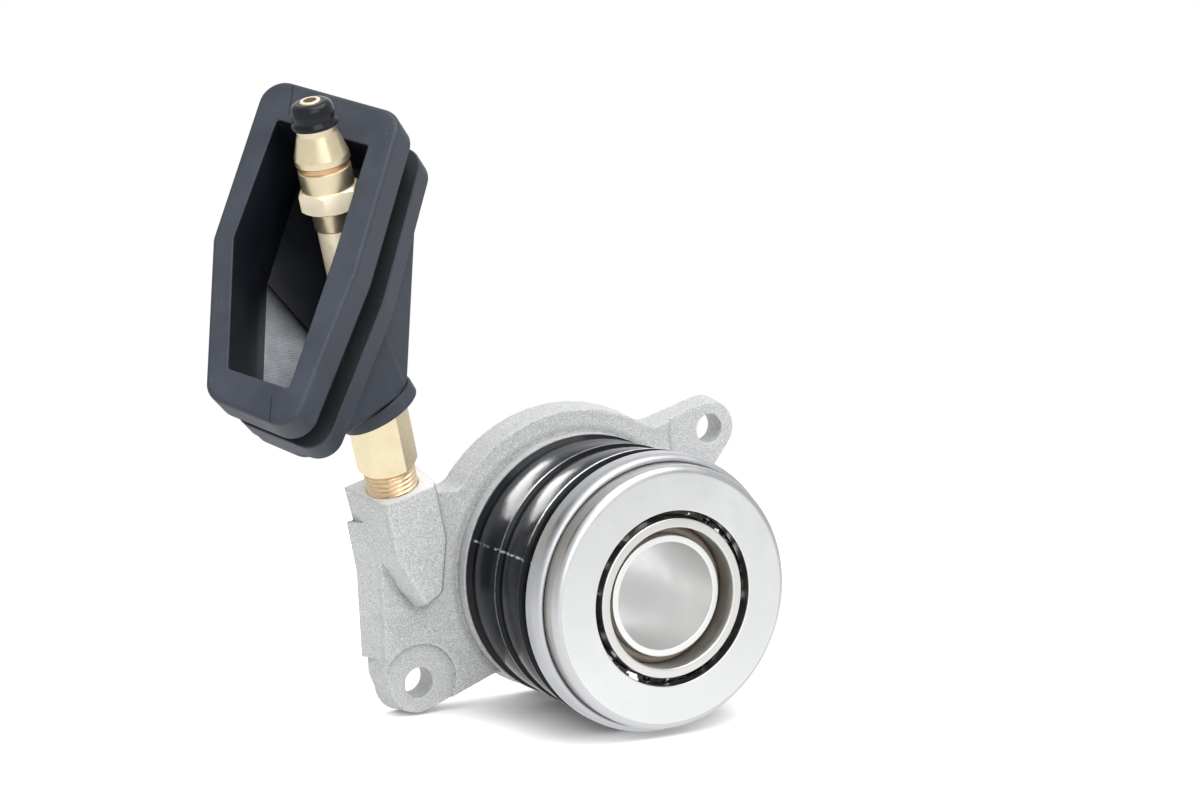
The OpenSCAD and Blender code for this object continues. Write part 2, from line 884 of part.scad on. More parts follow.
// Ring of the grommet's skin parallel to its front plane, z in front of it
function boot_ring(pts, round, inset, z) = [
    for (q = boot_outline(pts, round, inset))
        port + boot_at * pipe_dir + boot_vec([q[0] + boot_shift[0], q[1] + boot_shift[1], z])
];

// Directions round an axis, in step with the outline's corners
function round_dirs(axis) = [
    for (i = [0:5], j = [0:arc_steps])
        let (part = 60 * (i * (arc_steps + 1) + j) / (arc_steps + 1))
        let (swept = turned(boot_rim, i) + corner_turn(boot_rim, i) * j / arc_steps)
        let (n = corner_normals(boot_rim, 0)[0])
        let (a = atan2(n[1], n[0]) - 0.7 * swept - 0.3 * part)
        let (w = boot_vec([cos(a), sin(a), 0]))
        let (flat = w - (w * axis) * axis)
        flat / norm(flat)
];

// Ring of the grommet's skin square to the pipe
function pipe_ring(r, t) = [for (d = round_dirs(pipe_dir)) port + t * pipe_dir + r * d];

// Ring of the grommet's skin square to its neck, z above the lower face of the bead
function neck_ring(r, z) = [for (d = round_dirs(neck_dir)) neck_mid + z * neck_dir + r * d];

// Ring in which a cylinder round the pipe meets the lower face of the bead
function skirt_ring(r) = [
    for (d = round_dirs(pipe_dir))
        let (t = neck_at - r * (d * neck_dir) / (pipe_dir * neck_dir))
        port + t * pipe_dir + r * d
];

module window_grommet() {
    rear_z = -boot_depth;
    groove_z = -boot_rim_t - boot_groove_t;
    bead_r = boot_bead_d / 2;
    back_in = 1.4;
    bore_r = pipe_d / 2 + 0.06;
    rings = [
        pipe_ring(bore_r, skirt_top),
        pipe_ring(skirt_r, skirt_top),
        skirt_ring(skirt_r),
        neck_ring(bead_r - 0.4, 0),
        neck_ring(bead_r, 0.6),
        neck_ring(bead_r, boot_bead_h - 0.7),
        neck_ring(boot_neck_r, boot_bead_h),
        boot_ring(boot_back, 6, back_in, rear_z - boot_wall - 0.9),
        boot_ring(boot_back, 6, back_in, rear_z),
        boot_ring(boot_flange, 6, 2, rear_z),
        boot_ring(boot_flange, 6, 1.3, rear_z + 0.3),
        boot_ring(boot_flange, 6, 1, rear_z + 1),
        boot_ring(boot_flange, 6, 1, groove_z),
        boot_ring(boot_rim, 5, boot_groove_d, groove_z),
        boot_ring(boot_rim, 5, boot_groove_d, -boot_rim_t),
        boot_ring(boot_rim, 6, 0, -boot_rim_t),
        boot_ring(boot_rim, 6, 0, -1.2),
        boot_ring(boot_rim, 6, 0.35, -0.35),
        boot_ring(boot_rim, 6, 1.2, 0),
        boot_ring(boot_open, 0.8, -0.4, 0),
        boot_ring(boot_open, 0.8, 0, -0.4),
        boot_ring(boot_open, 0.8, 0, groove_z),
        boot_ring(boot_back, 1.5, back_in + boot_wall, rear_z - 0.9),
        pipe_ring(boot_neck_r - boot_wall, skirt_top + 9),
        pipe_ring(bore_r, skirt_top + 8)
    ];
    m = 6 * (arc_steps + 1);
    faces = [
        for (i = [0:len(rings) - 1], k = [0:m - 1])
            let (a = i * m, b = (i + 1) % len(rings) * m, n = (k + 1) % m)
            [a + k, a + n, b + n, b + k]
    ];
    color("darkslategray")
        lie()
            polyhedron([for (r = rings) each r], faces);
}

housing();
guide_tube();
tube_o_ring();
piston();
piston_seal();
piston_guide_ring();
stop_ring();
preload_spring();
spring_seat();
dust_bellows();
bearing_shell();
inner_ring();
contact_ring();
bearing_balls();
ball_cage();
hex_union();
feed_tube();
end_fitting();
nose_seal();
window_grommet();
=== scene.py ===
import bmesh
import bpy
import math
from mathutils import Matrix, Vector

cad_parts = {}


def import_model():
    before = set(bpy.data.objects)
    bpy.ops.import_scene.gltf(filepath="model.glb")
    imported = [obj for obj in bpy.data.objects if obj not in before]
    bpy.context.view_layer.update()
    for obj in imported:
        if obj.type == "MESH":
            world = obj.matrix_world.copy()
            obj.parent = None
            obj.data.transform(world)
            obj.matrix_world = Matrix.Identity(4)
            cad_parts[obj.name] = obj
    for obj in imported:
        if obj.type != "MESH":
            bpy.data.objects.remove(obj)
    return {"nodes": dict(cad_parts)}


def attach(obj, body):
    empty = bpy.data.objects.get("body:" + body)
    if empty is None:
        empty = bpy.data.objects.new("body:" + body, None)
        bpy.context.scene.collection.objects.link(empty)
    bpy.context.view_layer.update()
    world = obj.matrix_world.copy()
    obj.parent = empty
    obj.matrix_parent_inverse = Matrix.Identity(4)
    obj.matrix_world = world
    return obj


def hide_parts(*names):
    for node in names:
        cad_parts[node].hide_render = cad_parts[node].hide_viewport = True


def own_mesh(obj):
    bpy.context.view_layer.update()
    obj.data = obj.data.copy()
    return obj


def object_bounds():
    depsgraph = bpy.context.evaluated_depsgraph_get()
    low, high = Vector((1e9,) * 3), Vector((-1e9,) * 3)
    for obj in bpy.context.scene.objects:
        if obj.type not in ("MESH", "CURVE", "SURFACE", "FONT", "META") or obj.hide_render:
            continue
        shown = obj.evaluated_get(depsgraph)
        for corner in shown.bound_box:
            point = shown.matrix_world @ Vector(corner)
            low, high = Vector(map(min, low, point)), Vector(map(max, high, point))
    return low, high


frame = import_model()
size_at_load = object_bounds()

MM = 0.001
TAU = 2 * math.pi

# Lengths are in mm in the sketch frame of the part: x across, y up, and z along the axis, from the
# mounting face towards the bearing. The driving dimensions are those of the construction.

# Radii, from the guide tube outwards
TUBE_R = 14.25
TUBE_WALL = 1.85
RING_GAP = 2.5
INNER_RING_W = 2.55
RACE_GAP = 2.0
RACE_R = 3.25
FACE_W = 9.4
FACE_EDGE_R = 2.35
RUN_GAP = 0.35
TUBE_OR = TUBE_R + TUBE_WALL
TUBE_FLANGE_R = TUBE_OR + 5
BARREL_OR = TUBE_OR + 10.9
INNER_IR = TUBE_OR + RING_GAP
INNER_OR = INNER_IR + INNER_RING_W
CONTACT_IR = INNER_OR + RACE_GAP
PITCH_R = CONTACT_IR + RACE_R + 0.55
CUP_IR = PITCH_R + RACE_R + RUN_GAP
BAND_R = CONTACT_IR + FACE_W + FACE_EDGE_R
SHELL_R = BAND_R + 2.25
COLLAR_R = SHELL_R - 0.5

# Stations along the axis
STROKE = 14.0
BARREL_FRONT = 30.5
FLANGE_T = 8.8
COLLAR_H = 4.2
TUBE_FLANGE_T = 1.2
TUBE_RECESS = 3.8
CARRIER_T = 2.3
SHELL_T = 1.2
PLATE_T = 3.95
SEAT_GAP = 0.2
COLLAR_FRONT = FLANGE_T + COLLAR_H
CARRIER_REAR = BARREL_FRONT + STROKE + 0.9
SHELL_REAR = CARRIER_REAR + CARRIER_T
RING_REAR = SHELL_REAR + SHELL_T
BALL_H = RING_REAR + 1.15 + RACE_R
FACE_H = BALL_H + RACE_R + PLATE_T
TUBE_FRONT = FACE_H - TUBE_RECESS

# Bellows and spring
CREST = SHELL_R - 0.2
VALLEY = CREST - 1.1
RIDGE_MID = 29.95
RIDGE_FRONT = 44.0
WIRE_D = 2.2
SPRING_TURNS = 6.5
SPRING_R = BARREL_OR + 0.8 + WIRE_D / 2
SPRING_LOW = FLANGE_T + 0.05
SPRING_TOP = CARRIER_REAR - 1.25

# The part rolls about its axis until the lower lug is level with the round body
FLANGE_R = SHELL_R + 6.7
FLANGE_TAPER = 1.1
LUG_CIRCLE_R = 55.6
LUG_LOW_R = 8.1
LUG_LOW_ANG = 204.5
REST_R = SHELL_R * (FLANGE_R - FLANGE_TAPER) / FLANGE_R
ROLL = 180 + math.degrees(math.asin((REST_R - LUG_LOW_R) / LUG_CIRCLE_R)) - LUG_LOW_ANG
LIE = Matrix.Rotation(-math.radians(ROLL), 4, "Y") @ Matrix.Rotation(math.pi / 2, 4, "X")

# Feed pipe: heights are along the pipe, from the mouth of the port
PORT = Vector((-52.6, 32.2, 9.0))
LEAN_LEFT = math.radians(11.2)
LEAN_FRONT = math.radians(11.6)
PIPE_TURN = Matrix.Rotation(LEAN_LEFT, 4, "Z") @ Matrix.Rotation(LEAN_FRONT - math.pi / 2, 4, "X")
PIPE = LIE @ Matrix.Translation(PORT) @ PIPE_TURN
PIPE_DIR = PIPE_TURN.to_3x3() @ Vector((0, 0, 1))
FLUID_R = 1.7
PIPE_R = 5.1
SOCKET_R = PIPE_R - 0.98
SOCKET_H = 3.0
THREAD_R = 6.9
THREAD_IN = 6.0
THREAD_OUT = 6.0
THREAD_PITCH = 1.25
THREAD_DEPTH = 0.62
HEX_AF = 14.0
HEX_CORNER = HEX_AF / math.sqrt(3)
HEX_CHAMFER = 1.1
UNION_HEX_TURN = math.radians(40)
END_HEX_TURN = math.radians(53)
STUB_R = 5.5
NECK_R = 6.7
LOCK_R = NECK_R - 0.55
CONE_R = NECK_R + 0.25
NOSE_R = 5.05
TIP_R = 2.6
UNION_TOP = THREAD_OUT + 20.5
PIPE_TOP = UNION_TOP + 48.8
HEX_LOW = PIPE_TOP + 5.4
HEX_TOP = HEX_LOW + 5.3
NECK_TOP = HEX_TOP + 5.3
LOCK_TOP = NECK_TOP + 1.4
CONE_TOP = LOCK_TOP + 7.9
NOSE_TOP = CONE_TOP + 1.6
SEAL_TOP = NOSE_TOP + 6.3
TIP_TOP = SEAL_TOP + 0.4

# Window grommet: its rim lies in the x-y plane of its own frame
BOOT_TURN = (Matrix.Rotation(math.radians(-25.5), 3, "Z")
             @ Matrix.Rotation(math.radians(-51.5), 3, "Y")
             @ Matrix.Rotation(math.radians(-15.8), 3, "X"))
BOOT_AT = PORT + 91.3 * PIPE_DIR
BOOT_SHIFT = Vector((0.5, 24.4))
BOOT_HALF = 42.25
TOP_W, LOW_W, KNEE_W = 40.0, 25.7, 40.3
TOP_RIGHT, LOW_RIGHT = 14.3, 23.2
KNEE_RIGHT = KNEE_W / 2 + 0.7
SIDE, END = 8.2, 9.5
RIM_T, GROOVE_T, REAR_T = 10.0, 7.6, 8.0
GROOVE_D = 3.4
FLANGE_OUT, BACK_IN = 2.1, -3.2
BOOT_WALL = 3.0
BEAD_R, BEAD_H = 10.9, 4.2
NECK_LEAN = math.radians(26)
NECK_OFF = 1.1
SKIRT_R = HEX_CORNER + 0.27
SKIRT_TOP = UNION_TOP + 0.3
RIM = [Vector(p) for p in (
    (TOP_RIGHT - TOP_W, BOOT_HALF + 2), (TOP_RIGHT, BOOT_HALF + 1.2), (KNEE_RIGHT, 0.9),
    (LOW_RIGHT, -BOOT_HALF - 0.4), (LOW_RIGHT - LOW_W, -BOOT_HALF + 1.6),
    (KNEE_RIGHT - KNEE_W, -1.7))]
OPEN = [a + Vector(b) for a, b in zip(RIM, (
    (1.01 * SIDE, -1.15 * END), (-0.62 * SIDE, -1.12 * END), (-0.88 * SIDE, 0),
    (-0.71 * SIDE, 1.04 * END), (0.32 * SIDE, 0.87 * END), (0.65 * SIDE, 1.7)))]
FLANGE = [a + Vector(b) for a, b in zip(RIM, (
    (0, 0), (FLANGE_OUT - 0.7, -0.6), (FLANGE_OUT, 0), (FLANGE_OUT, 0), (0, 0), (0, 0)))]
BACK = [a + Vector(b) for a, b in zip(RIM, (
    (0, 0), (BACK_IN, 0), (BACK_IN, 0), (BACK_IN, 0), (0, 0), (0, 0)))]
NECK_DIR = Vector((-math.sin(NECK_LEAN), math.cos(NECK_LEAN), 0))
NECK_PLANE = PORT + (SKIRT_TOP - 5.2) * PIPE_DIR
NECK_AT = NECK_PLANE + NECK_OFF * Vector((math.cos(NECK_LEAN), math.sin(NECK_LEAN), 0))
SIDES = len(RIM)
# Points of an outline: steps round a corner, and steps along an edge
ARC, EDGE = 12, 8


# Shader nodes

def node(mat, kind, **props):
    made = mat.node_tree.nodes.new(kind)
    for key, value in props.items():
        setattr(made, key, value)
    return made


def feed(mat, socket, value):
    """Link a socket to an output, or set its value."""
    if isinstance(value, bpy.types.NodeSocket):
        mat.node_tree.links.new(value, socket)
    elif socket.type == "RGBA":
        socket.default_value = (*value, 1)
    else:
        socket.default_value = value


def new_material(name, color, rough, metal=0.0, **inputs):
    mat = bpy.data.materials.new(name)
    mat.use_nodes = True
    shader = shader_of(mat)
    shader.inputs["Base Color"].default_value = (*color, 1)
    shader.inputs["Roughness"].default_value = rough
    shader.inputs["Metallic"].default_value = metal
    for key, value in inputs.items():
        shader.inputs[key.replace("_", " ")].default_value = value
    return mat


def shader_of(mat):
    return mat.node_tree.nodes["Principled BSDF"]


def base_of(mat):
    """The output that feeds the base colour so far."""
    return shader_of(mat).inputs["Base Color"].links[0].from_socket


def coords(mat):
    found = mat.node_tree.nodes.get("Coords")
    if found is None:
        found = node(mat, "ShaderNodeTexCoord", name="Coords")
    return found.outputs["Object"]


def split(mat):
    parts = node(mat, "ShaderNodeSeparateXYZ")
    feed(mat, parts.inputs[0], coords(mat))
    return parts.outputs


def noise(mat, scale, detail=3.0, rough=0.55, along=None):
    """Noise with its scale in cells per metre: along a value, or else in space."""
    n = node(mat, "ShaderNodeTexNoise", noise_dimensions="3D" if along is None else "1D")
    n.inputs["Scale"].default_value = scale
    n.inputs["Detail"].default_value = detail
    n.inputs["Roughness"].default_value = rough
    if along is None:
        feed(mat, n.inputs["Vector"], coords(mat))
    else:
        feed(mat, n.inputs["W"], along)
    return n.outputs["Fac"]


def span(mat, value, low, high, start=0.0, end=1.0):
    """Spread the values from low to high over start to end, and hold them beyond."""
    n = node(mat, "ShaderNodeMapRange")
    for key, val in (
            ("From Min", low), ("From Max", high), ("To Min", start), ("To Max", end)):
        n.inputs[key].default_value = val
    feed(mat, n.inputs["Value"], value)
    return n.outputs["Result"]


def maths(mat, op, *values):
    n = node(mat, "ShaderNodeMath", operation=op)
    for socket, value in zip(n.inputs, values):
        feed(mat, socket, value)
    return n.outputs["Value"]


def vectors(mat, op, *values):
    n = node(mat, "ShaderNodeVectorMath", operation=op)
    for socket, value in zip(n.inputs, values):
        feed(mat, socket, value)
    return n.outputs["Value" if op in ("DOT_PRODUCT", "DISTANCE", "LENGTH") else "Vector"]


def bump(mat, height, strength, distance):
    """Bump on top of what shapes the normal so far; the distance is in mm."""
    n = node(mat, "ShaderNodeBump")
    n.inputs["Strength"].default_value = strength
    n.inputs["Distance"].default_value = distance * MM
    feed(mat, n.inputs["Height"], height)
    normal = shader_of(mat).inputs["Normal"]
    if normal.is_linked:
        feed(mat, n.inputs["Normal"], normal.links[0].from_socket)
    feed(mat, normal, n.outputs["Normal"])


def tint(mat, factor, color_a, color_b):
    """Mix two colours into the base colour."""
    n = node(mat, "ShaderNodeMix", data_type="RGBA")
    feed(mat, n.inputs[0], factor)
    feed(mat, n.inputs[6], color_a)
    feed(mat, n.inputs[7], color_b)
    feed(mat, shader_of(mat).inputs["Base Color"], n.outputs[2])
    return n.outputs[2]


def openness(mat, reach, local=True):
    """How open the surface is: 1 where nothing stands within reach, in mm."""
    n = node(mat, "ShaderNodeAmbientOcclusion", samples=2, only_local=local)
    n.inputs["Distance"].default_value = reach * MM
    return n.outputs["AO"]


# Materials

def turned(mat, strength, pitch):
    """Fine concentric tool marks, with a tangent that runs round the axis."""
    at = split(mat)
    across = maths(mat, "ADD", maths(mat, "POWER", at["X"], 2.0), maths(mat, "POWER", at["Z"], 2.0))
    marks = noise(mat, 1 / (pitch * MM), 2.0, 0.5, along=maths(mat, "SQRT", across))
    bump(mat, marks, strength, 0.05)
    tangent = node(mat, "ShaderNodeTangent", direction_type="RADIAL", axis="Y")
    feed(mat, shader_of(mat).inputs["Tangent"], tangent.outputs[0])
    return marks


def cast_metal():
    """Sand-cast aluminium: grains, pits darkened with painted shade, painted shade in the roots of
    steps, a milled port face, and edges lighter in patches.
    """
    tilt = 0.34
    milled_r = 17.0
    mat = new_material("cast_aluminium", (0.62, 0.625, 0.63), 0.55, 0.25)
    edge = node(mat, "ShaderNodeBevel", samples=2)
    edge.inputs["Radius"].default_value = 1.0 * MM
    soft = edge.outputs["Normal"]
    grain = node(mat, "ShaderNodeTexVoronoi")
    grain.inputs["Scale"].default_value = 3400
    feed(mat, grain.inputs["Vector"], coords(mat))
    lean = vectors(mat, "MULTIPLY_ADD", grain.outputs["Color"], (tilt,) * 3, (-tilt / 2,) * 3)
    facing = vectors(mat, "NORMALIZE", vectors(mat, "ADD", soft, lean))
    feed(mat, shader_of(mat).inputs["Normal"], facing)
    bump(mat, noise(mat, 900, 4.0, 0.6), 0.35, 0.25)
    bump(mat, noise(mat, 120, 2.0, 0.5), 0.2, 0.8)
    cloud = span(mat, noise(mat, 60, 3.0, 0.6), 0.3, 0.7)
    base = tint(mat, cloud, (0.55, 0.56, 0.565), (0.62, 0.63, 0.635))
    sand = noise(mat, 2700, 2.0, 0.6)
    base = tint(mat, span(mat, sand, 0.50, 0.66, 0.0, 0.7), base, (0.36, 0.365, 0.37))
    base = tint(mat, span(mat, sand, 0.46, 0.34, 0.0, 0.7), base, (0.90, 0.91, 0.915))
    # Painted shade: dark spots stand for the shade inside small casting pits
    pit_shade = span(mat, noise(mat, 600, 2.0, 0.5), 0.235, 0.265, 0.5, 0.0)
    base = tint(mat, pit_shade, base, (0.25, 0.25, 0.25))
    # Painted shade: darker where other faces stand within reach, in the roots of steps and corners
    crevice_shade = span(mat, openness(mat, 2.5), 0.45, 0.92, 0.75, 0.0)
    base = tint(mat, crevice_shade, base, (0.12, 0.12, 0.125))
    normal = node(mat, "ShaderNodeNewGeometry").outputs["Normal"]
    level = vectors(mat, "DOT_PRODUCT", normal, PIPE.col[2][:3])
    away = vectors(mat, "DISTANCE", coords(mat), (LIE @ PORT) * MM)
    milled = maths(mat, "MULTIPLY", span(mat, level, 0.990, 0.996, 0.0, 0.9),
                   span(mat, away, milled_r * MM, (milled_r + 1) * MM, 1.0, 0.0))
    base = tint(mat, milled, base, (0.92, 0.925, 0.93))
    # Lighter in patches along the edges
    rim = span(mat, vectors(mat, "DOT_PRODUCT", normal, soft), 0.90, 0.985, 1.0, 0.0)
    edge_flecks = span(mat, noise(mat, 1300, 2.0, 0.6), 0.38, 0.48)
    tint(mat, maths(mat, "MULTIPLY", rim, edge_flecks), base, (0.98, 0.985, 0.99))
    return mat


def satin_steel(name, color, rough, marks, pitch=0.25, aniso=0.5):
    mat = new_material(name, color, rough, 1.0, Anisotropic=aniso)
    fine = turned(mat, marks, pitch)
    smear = noise(mat, 140, 3.0, 0.6)
    both = maths(mat, "ADD", maths(mat, "MULTIPLY", fine, 0.4), maths(mat, "MULTIPLY", smear, 0.6))
    tint(mat, span(mat, both, 0.35, 0.65), tuple(c * 0.93 for c in color), color)
    uneven = span(mat, smear, 0.3, 0.7, rough * 0.85, rough * 1.2)
    feed(mat, shader_of(mat).inputs["Roughness"], uneven)
    return mat


def zinc(name, color, dark, rough, metal=0.92):
    mat = new_material(name, color, rough, metal)
    cloud = noise(mat, 260, 4.0, 0.65)
    tint(mat, span(mat, cloud, 0.3, 0.7), dark, color)
    bump(mat, noise(mat, 1400, 3.0, 0.6), 0.12, 0.08)
    uneven = span(mat, cloud, 0.25, 0.75, rough * 0.8, rough * 1.3)
    feed(mat, shader_of(mat).inputs["Roughness"], uneven)
    return mat


def rubber(name, color, rough, grain, scale=1300, dust=0.0, **inputs):
    mat = new_material(name, color, rough, 0.0, **inputs)
    bump(mat, noise(mat, scale, 3.0, 0.6), grain, 0.12)
    cloud = noise(mat, 90, 3.0, 0.6)
    base = tint(mat, span(mat, cloud, 0.35, 0.7), color, tuple(c * 1.5 + 0.002 for c in color))
    if dust:
        speck = span(mat, noise(mat, 1900, 1.0, 0.4), 0.74, 0.80, 0.0, dust)
        tint(mat, speck, base, (0.30, 0.31, 0.32))
    uneven = span(mat, cloud, 0.3, 0.7, rough * 0.9, rough * 1.15)
    feed(mat, shader_of(mat).inputs["Roughness"], uneven)
    return mat


def mould_line(mat, degrees, color):
    """Broken pale line that the mould's parting left across the bellows."""
    at = split(mat)
    angle = maths(mat, "ARCTAN2", at["Z"], at["X"])
    off = maths(mat, "ABSOLUTE", maths(mat, "SUBTRACT", angle, math.radians(degrees)))
    line = span(mat, off, math.radians(0.35), math.radians(0.6), 1.0, 0.0)
    broken = span(mat, noise(mat, 700, 2.0, 0.5), 0.50, 0.56)
    tint(mat, maths(mat, "MULTIPLY", line, broken), base_of(mat), color)
    bump(mat, line, 0.5, 0.15)


def crest_highlight(mat, at, half, color, low):
    """Painted highlight: a pale line along a crest of the bellows, at a station on the axis and
    above a height.
    """
    place = split(mat)
    off = maths(mat, "ABSOLUTE", maths(mat, "ADD", place["Y"], at * MM))
    line = span(mat, off, half * MM, 1.6 * half * MM, 1.0, 0.0)
    lit = maths(mat, "MULTIPLY", line, span(mat, place["Z"], low * MM, (low + 8) * MM))
    # Noise breaks up the painted highlight
    patchy = span(mat, noise(mat, 500, 2.0, 0.6), 0.30, 0.55, 0.35, 1.0)
    tint(mat, maths(mat, "MULTIPLY", lit, patchy), base_of(mat), color)


def hatched(mat, across, along, pitch):
    """Imprint of a wire mesh: rows of small pads, with a painted sheen on them where the sheen
    attribute says so.
    """
    rows = []
    for way in (across, along):
        at = vectors(mat, "DOT_PRODUCT", coords(mat), way)
        rows.append(maths(mat, "SINE", maths(mat, "MULTIPLY", at, TAU / (pitch * MM))))
    height = maths(mat, "ADD", maths(mat, "MULTIPLY", rows[0], 0.7),
                   maths(mat, "MULTIPLY", rows[1], 0.3))
    bump(mat, height, 0.4, 0.08)
    patchy = span(mat, noise(mat, 260, 3.0, 0.6), 0.35, 0.65, 0.75, 1.0)
    sheen = node(mat, "ShaderNodeAttribute", attribute_name="sheen").outputs["Fac"]
    pads = maths(mat, "MULTIPLY", span(mat, height, -0.8, 0.5, 0.6, 1.0), patchy)
    # Painted sheen: the pads tinted pale, as much as the sheen attribute gives
    tint(mat, maths(mat, "MULTIPLY", pads, sheen), base_of(mat), (0.80, 0.84, 0.92))


def folds(mat, reach, dark):
    """Less light in the folds of the rubber."""
    hidden = span(mat, openness(mat, reach), 0.50, 0.96, 1.0, 0.0)
    tint(mat, hidden, base_of(mat), dark)


def seam(mat, a, b):
    """Parting line across the rim of the grommet, between two points of its frame."""
    fade = 0.5
    length = (Vector(b) - Vector(a)).length
    way = (Vector(b) - Vector(a)).normalized()
    at = []
    for across in (Vector((way.y, -way.x)), way):
        axis = LIE.to_3x3() @ BOOT_TURN @ Vector((across.x, across.y, 0))
        shift = across.dot(BOOT_SHIFT - Vector(a)) - (LIE @ BOOT_AT).dot(axis)
        along = vectors(mat, "DOT_PRODUCT", coords(mat), axis)
        at.append(maths(mat, "ADD", along, shift * MM))
    line = span(mat, maths(mat, "ABSOLUTE", at[0]), 0.10 * MM, 0.22 * MM, 1.0, 0.0)
    ends = maths(mat, "MULTIPLY", span(mat, at[1], 0.0, fade * MM),
                 span(mat, at[1], (length - fade) * MM, length * MM, 1.0, 0.0))
    tint(mat, maths(mat, "MULTIPLY", line, ends), base_of(mat), (0.004, 0.005, 0.007))


def greased(mat):
    """Bright wet patches on the cage."""
    shine = span(mat, noise(mat, 270, 2.0, 0.5), 0.565, 0.585)
    tint(mat, shine, base_of(mat), (0.85, 0.86, 0.87))
    feed(mat, shader_of(mat).inputs["Metallic"], shine)
    bump(mat, noise(mat, 220, 2.0, 0.5), 0.8, 1.2)


CAST = cast_metal()
FACE = satin_steel(
    "release_face", (0.80, 0.81, 0.81), rough=0.38, marks=0.30, pitch=0.22, aniso=0.5)
# Painted shade: darker copies of the release face's steel for the rounded edge and the side band of
# the contact ring
EDGE_STEEL_SHADED = satin_steel(
    "release_edge_shaded", (0.62, 0.63, 0.645), rough=0.36, marks=0.10, pitch=0.4, aniso=0.3)
BAND_SHADED = satin_steel(
    "ring_band_shaded", (0.52, 0.515, 0.50), rough=0.36, marks=0.12, pitch=0.4, aniso=0.3)
SHELL = satin_steel(
    "shell_satin", (0.60, 0.61, 0.63), rough=0.48, marks=0.08, pitch=0.5, aniso=0.3)
INNER = satin_steel(
    "inner_ring_satin", (0.76, 0.755, 0.73), rough=0.36, marks=0.10, pitch=0.4, aniso=0.3)
# Painted shade: a darker, rougher copy of the inner ring's steel for its bore
INNER_BORE_SHADED = satin_steel(
    "inner_ring_bore_shaded", (0.60, 0.60, 0.585), rough=0.5, marks=0.10, pitch=0.4, aniso=0.2)
TUBE = satin_steel(
    "tube_drawn", (0.92, 0.925, 0.915), rough=0.39, marks=0.05, pitch=0.5, aniso=0.2)
BALL = new_material("ball_polished", (0.8, 0.8, 0.8), rough=0.08, metal=1.0)
bump(BALL, noise(BALL, 700, 2.0, 0.5), 0.02, 0.05)
PRESSED = satin_steel("pressed_sheet", (0.45, 0.45, 0.45), rough=0.45, marks=0.1)
WIRE = zinc("spring_wire", (0.35, 0.35, 0.36), (0.28, 0.28, 0.29), rough=0.4)
CAGE = rubber("cage_plastic", (0.008, 0.008, 0.009), rough=0.12, grain=0.5, scale=350)
greased(CAGE)
PISTON = rubber("piston_plastic", (0.20, 0.16, 0.125), rough=0.5, grain=0.05)
GUIDE = rubber("guide_plastic", (0.16, 0.10, 0.05), rough=0.5, grain=0.05)
BLACK = (0.005, 0.006, 0.008)
SEAL = rubber("seal_rubber", BLACK, rough=0.20, grain=0.05, Specular_IOR_Level=0.28)
BELLOWS = rubber("bellows_rubber", BLACK, rough=0.20, grain=0.06, scale=1500, dust=0.15,
                 Specular_IOR_Level=0.2)
bump(BELLOWS, noise(BELLOWS, 260, 3.0, 0.6), 0.25, 0.3)
mould_line(BELLOWS, 163, (0.30, 0.31, 0.33))
# Painted highlights along the front ridge, on its upper side only, and along the middle ridge
# nearly all round
crest_highlight(BELLOWS, RIDGE_FRONT, 0.28, (0.62, 0.64, 0.67), low=14)
crest_highlight(BELLOWS, RIDGE_MID, 0.2, (0.16, 0.17, 0.18), low=-40)
GROMMET = rubber(
    "grommet_rubber", (0.026, 0.032, 0.046), rough=0.55, grain=0.18, scale=1100, dust=0.25)
folds(GROMMET, 11, (0.003, 0.004, 0.006))
seam(GROMMET, (-18.3, 46), (-14.7, 35))
seam(GROMMET, (18.0, -46), (14.0, -35.5))
# Painted shade: a darker copy of the grommet's rubber for the inside of its opening, the printed
# wall too
FUNNEL_SHADE_BLACK = (0.008, 0.010, 0.016)
FUNNEL_SHADED = rubber("funnel_rubber_shaded", FUNNEL_SHADE_BLACK, rough=0.38, grain=0.10, scale=1100, dust=0.2)
HATCH = rubber("funnel_mesh_print_and_sheen", FUNNEL_SHADE_BLACK, rough=0.38, grain=0.10, scale=1100, dust=0.2)
hatched(HATCH, across=(-0.1, 0.35, 0.93), along=(0.9, 0.35, -0.1), pitch=0.62)
ZINC = zinc("yellow_zinc", (0.86, 0.76, 0.54), (0.78, 0.66, 0.43), rough=0.30)
# Painted light: a paler, less metallic copy of the yellow zinc for the end hex, the feed tube and
# the nose tip
ZINC_LIT = zinc(
    "yellow_zinc_lit", (0.92, 0.84, 0.66), (0.86, 0.76, 0.54), rough=0.34, metal=0.45)
THREAD = zinc("thread_sealant", (0.90, 0.79, 0.54), (0.78, 0.56, 0.38), rough=0.36)
ZINC_RED = zinc("zinc_copper", (0.80, 0.52, 0.30), (0.70, 0.42, 0.22), rough=0.35)


# Geometry helpers

def place_mesh(name, mesh, body, sharp, weighted=True):
    """Smooth faces with sharp edges over an angle, on an object that rides on a body."""
    mesh.polygons.foreach_set("use_smooth", [True] * len(mesh.polygons))
    mesh.set_sharp_from_angle(angle=math.radians(sharp))
    obj = bpy.data.objects.new(name, mesh)
    bpy.context.scene.collection.objects.link(obj)
    if weighted:
        mod = obj.modifiers.new("normals", "WEIGHTED_NORMAL")
        mod.keep_sharp = True
    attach(obj, body)
    return obj


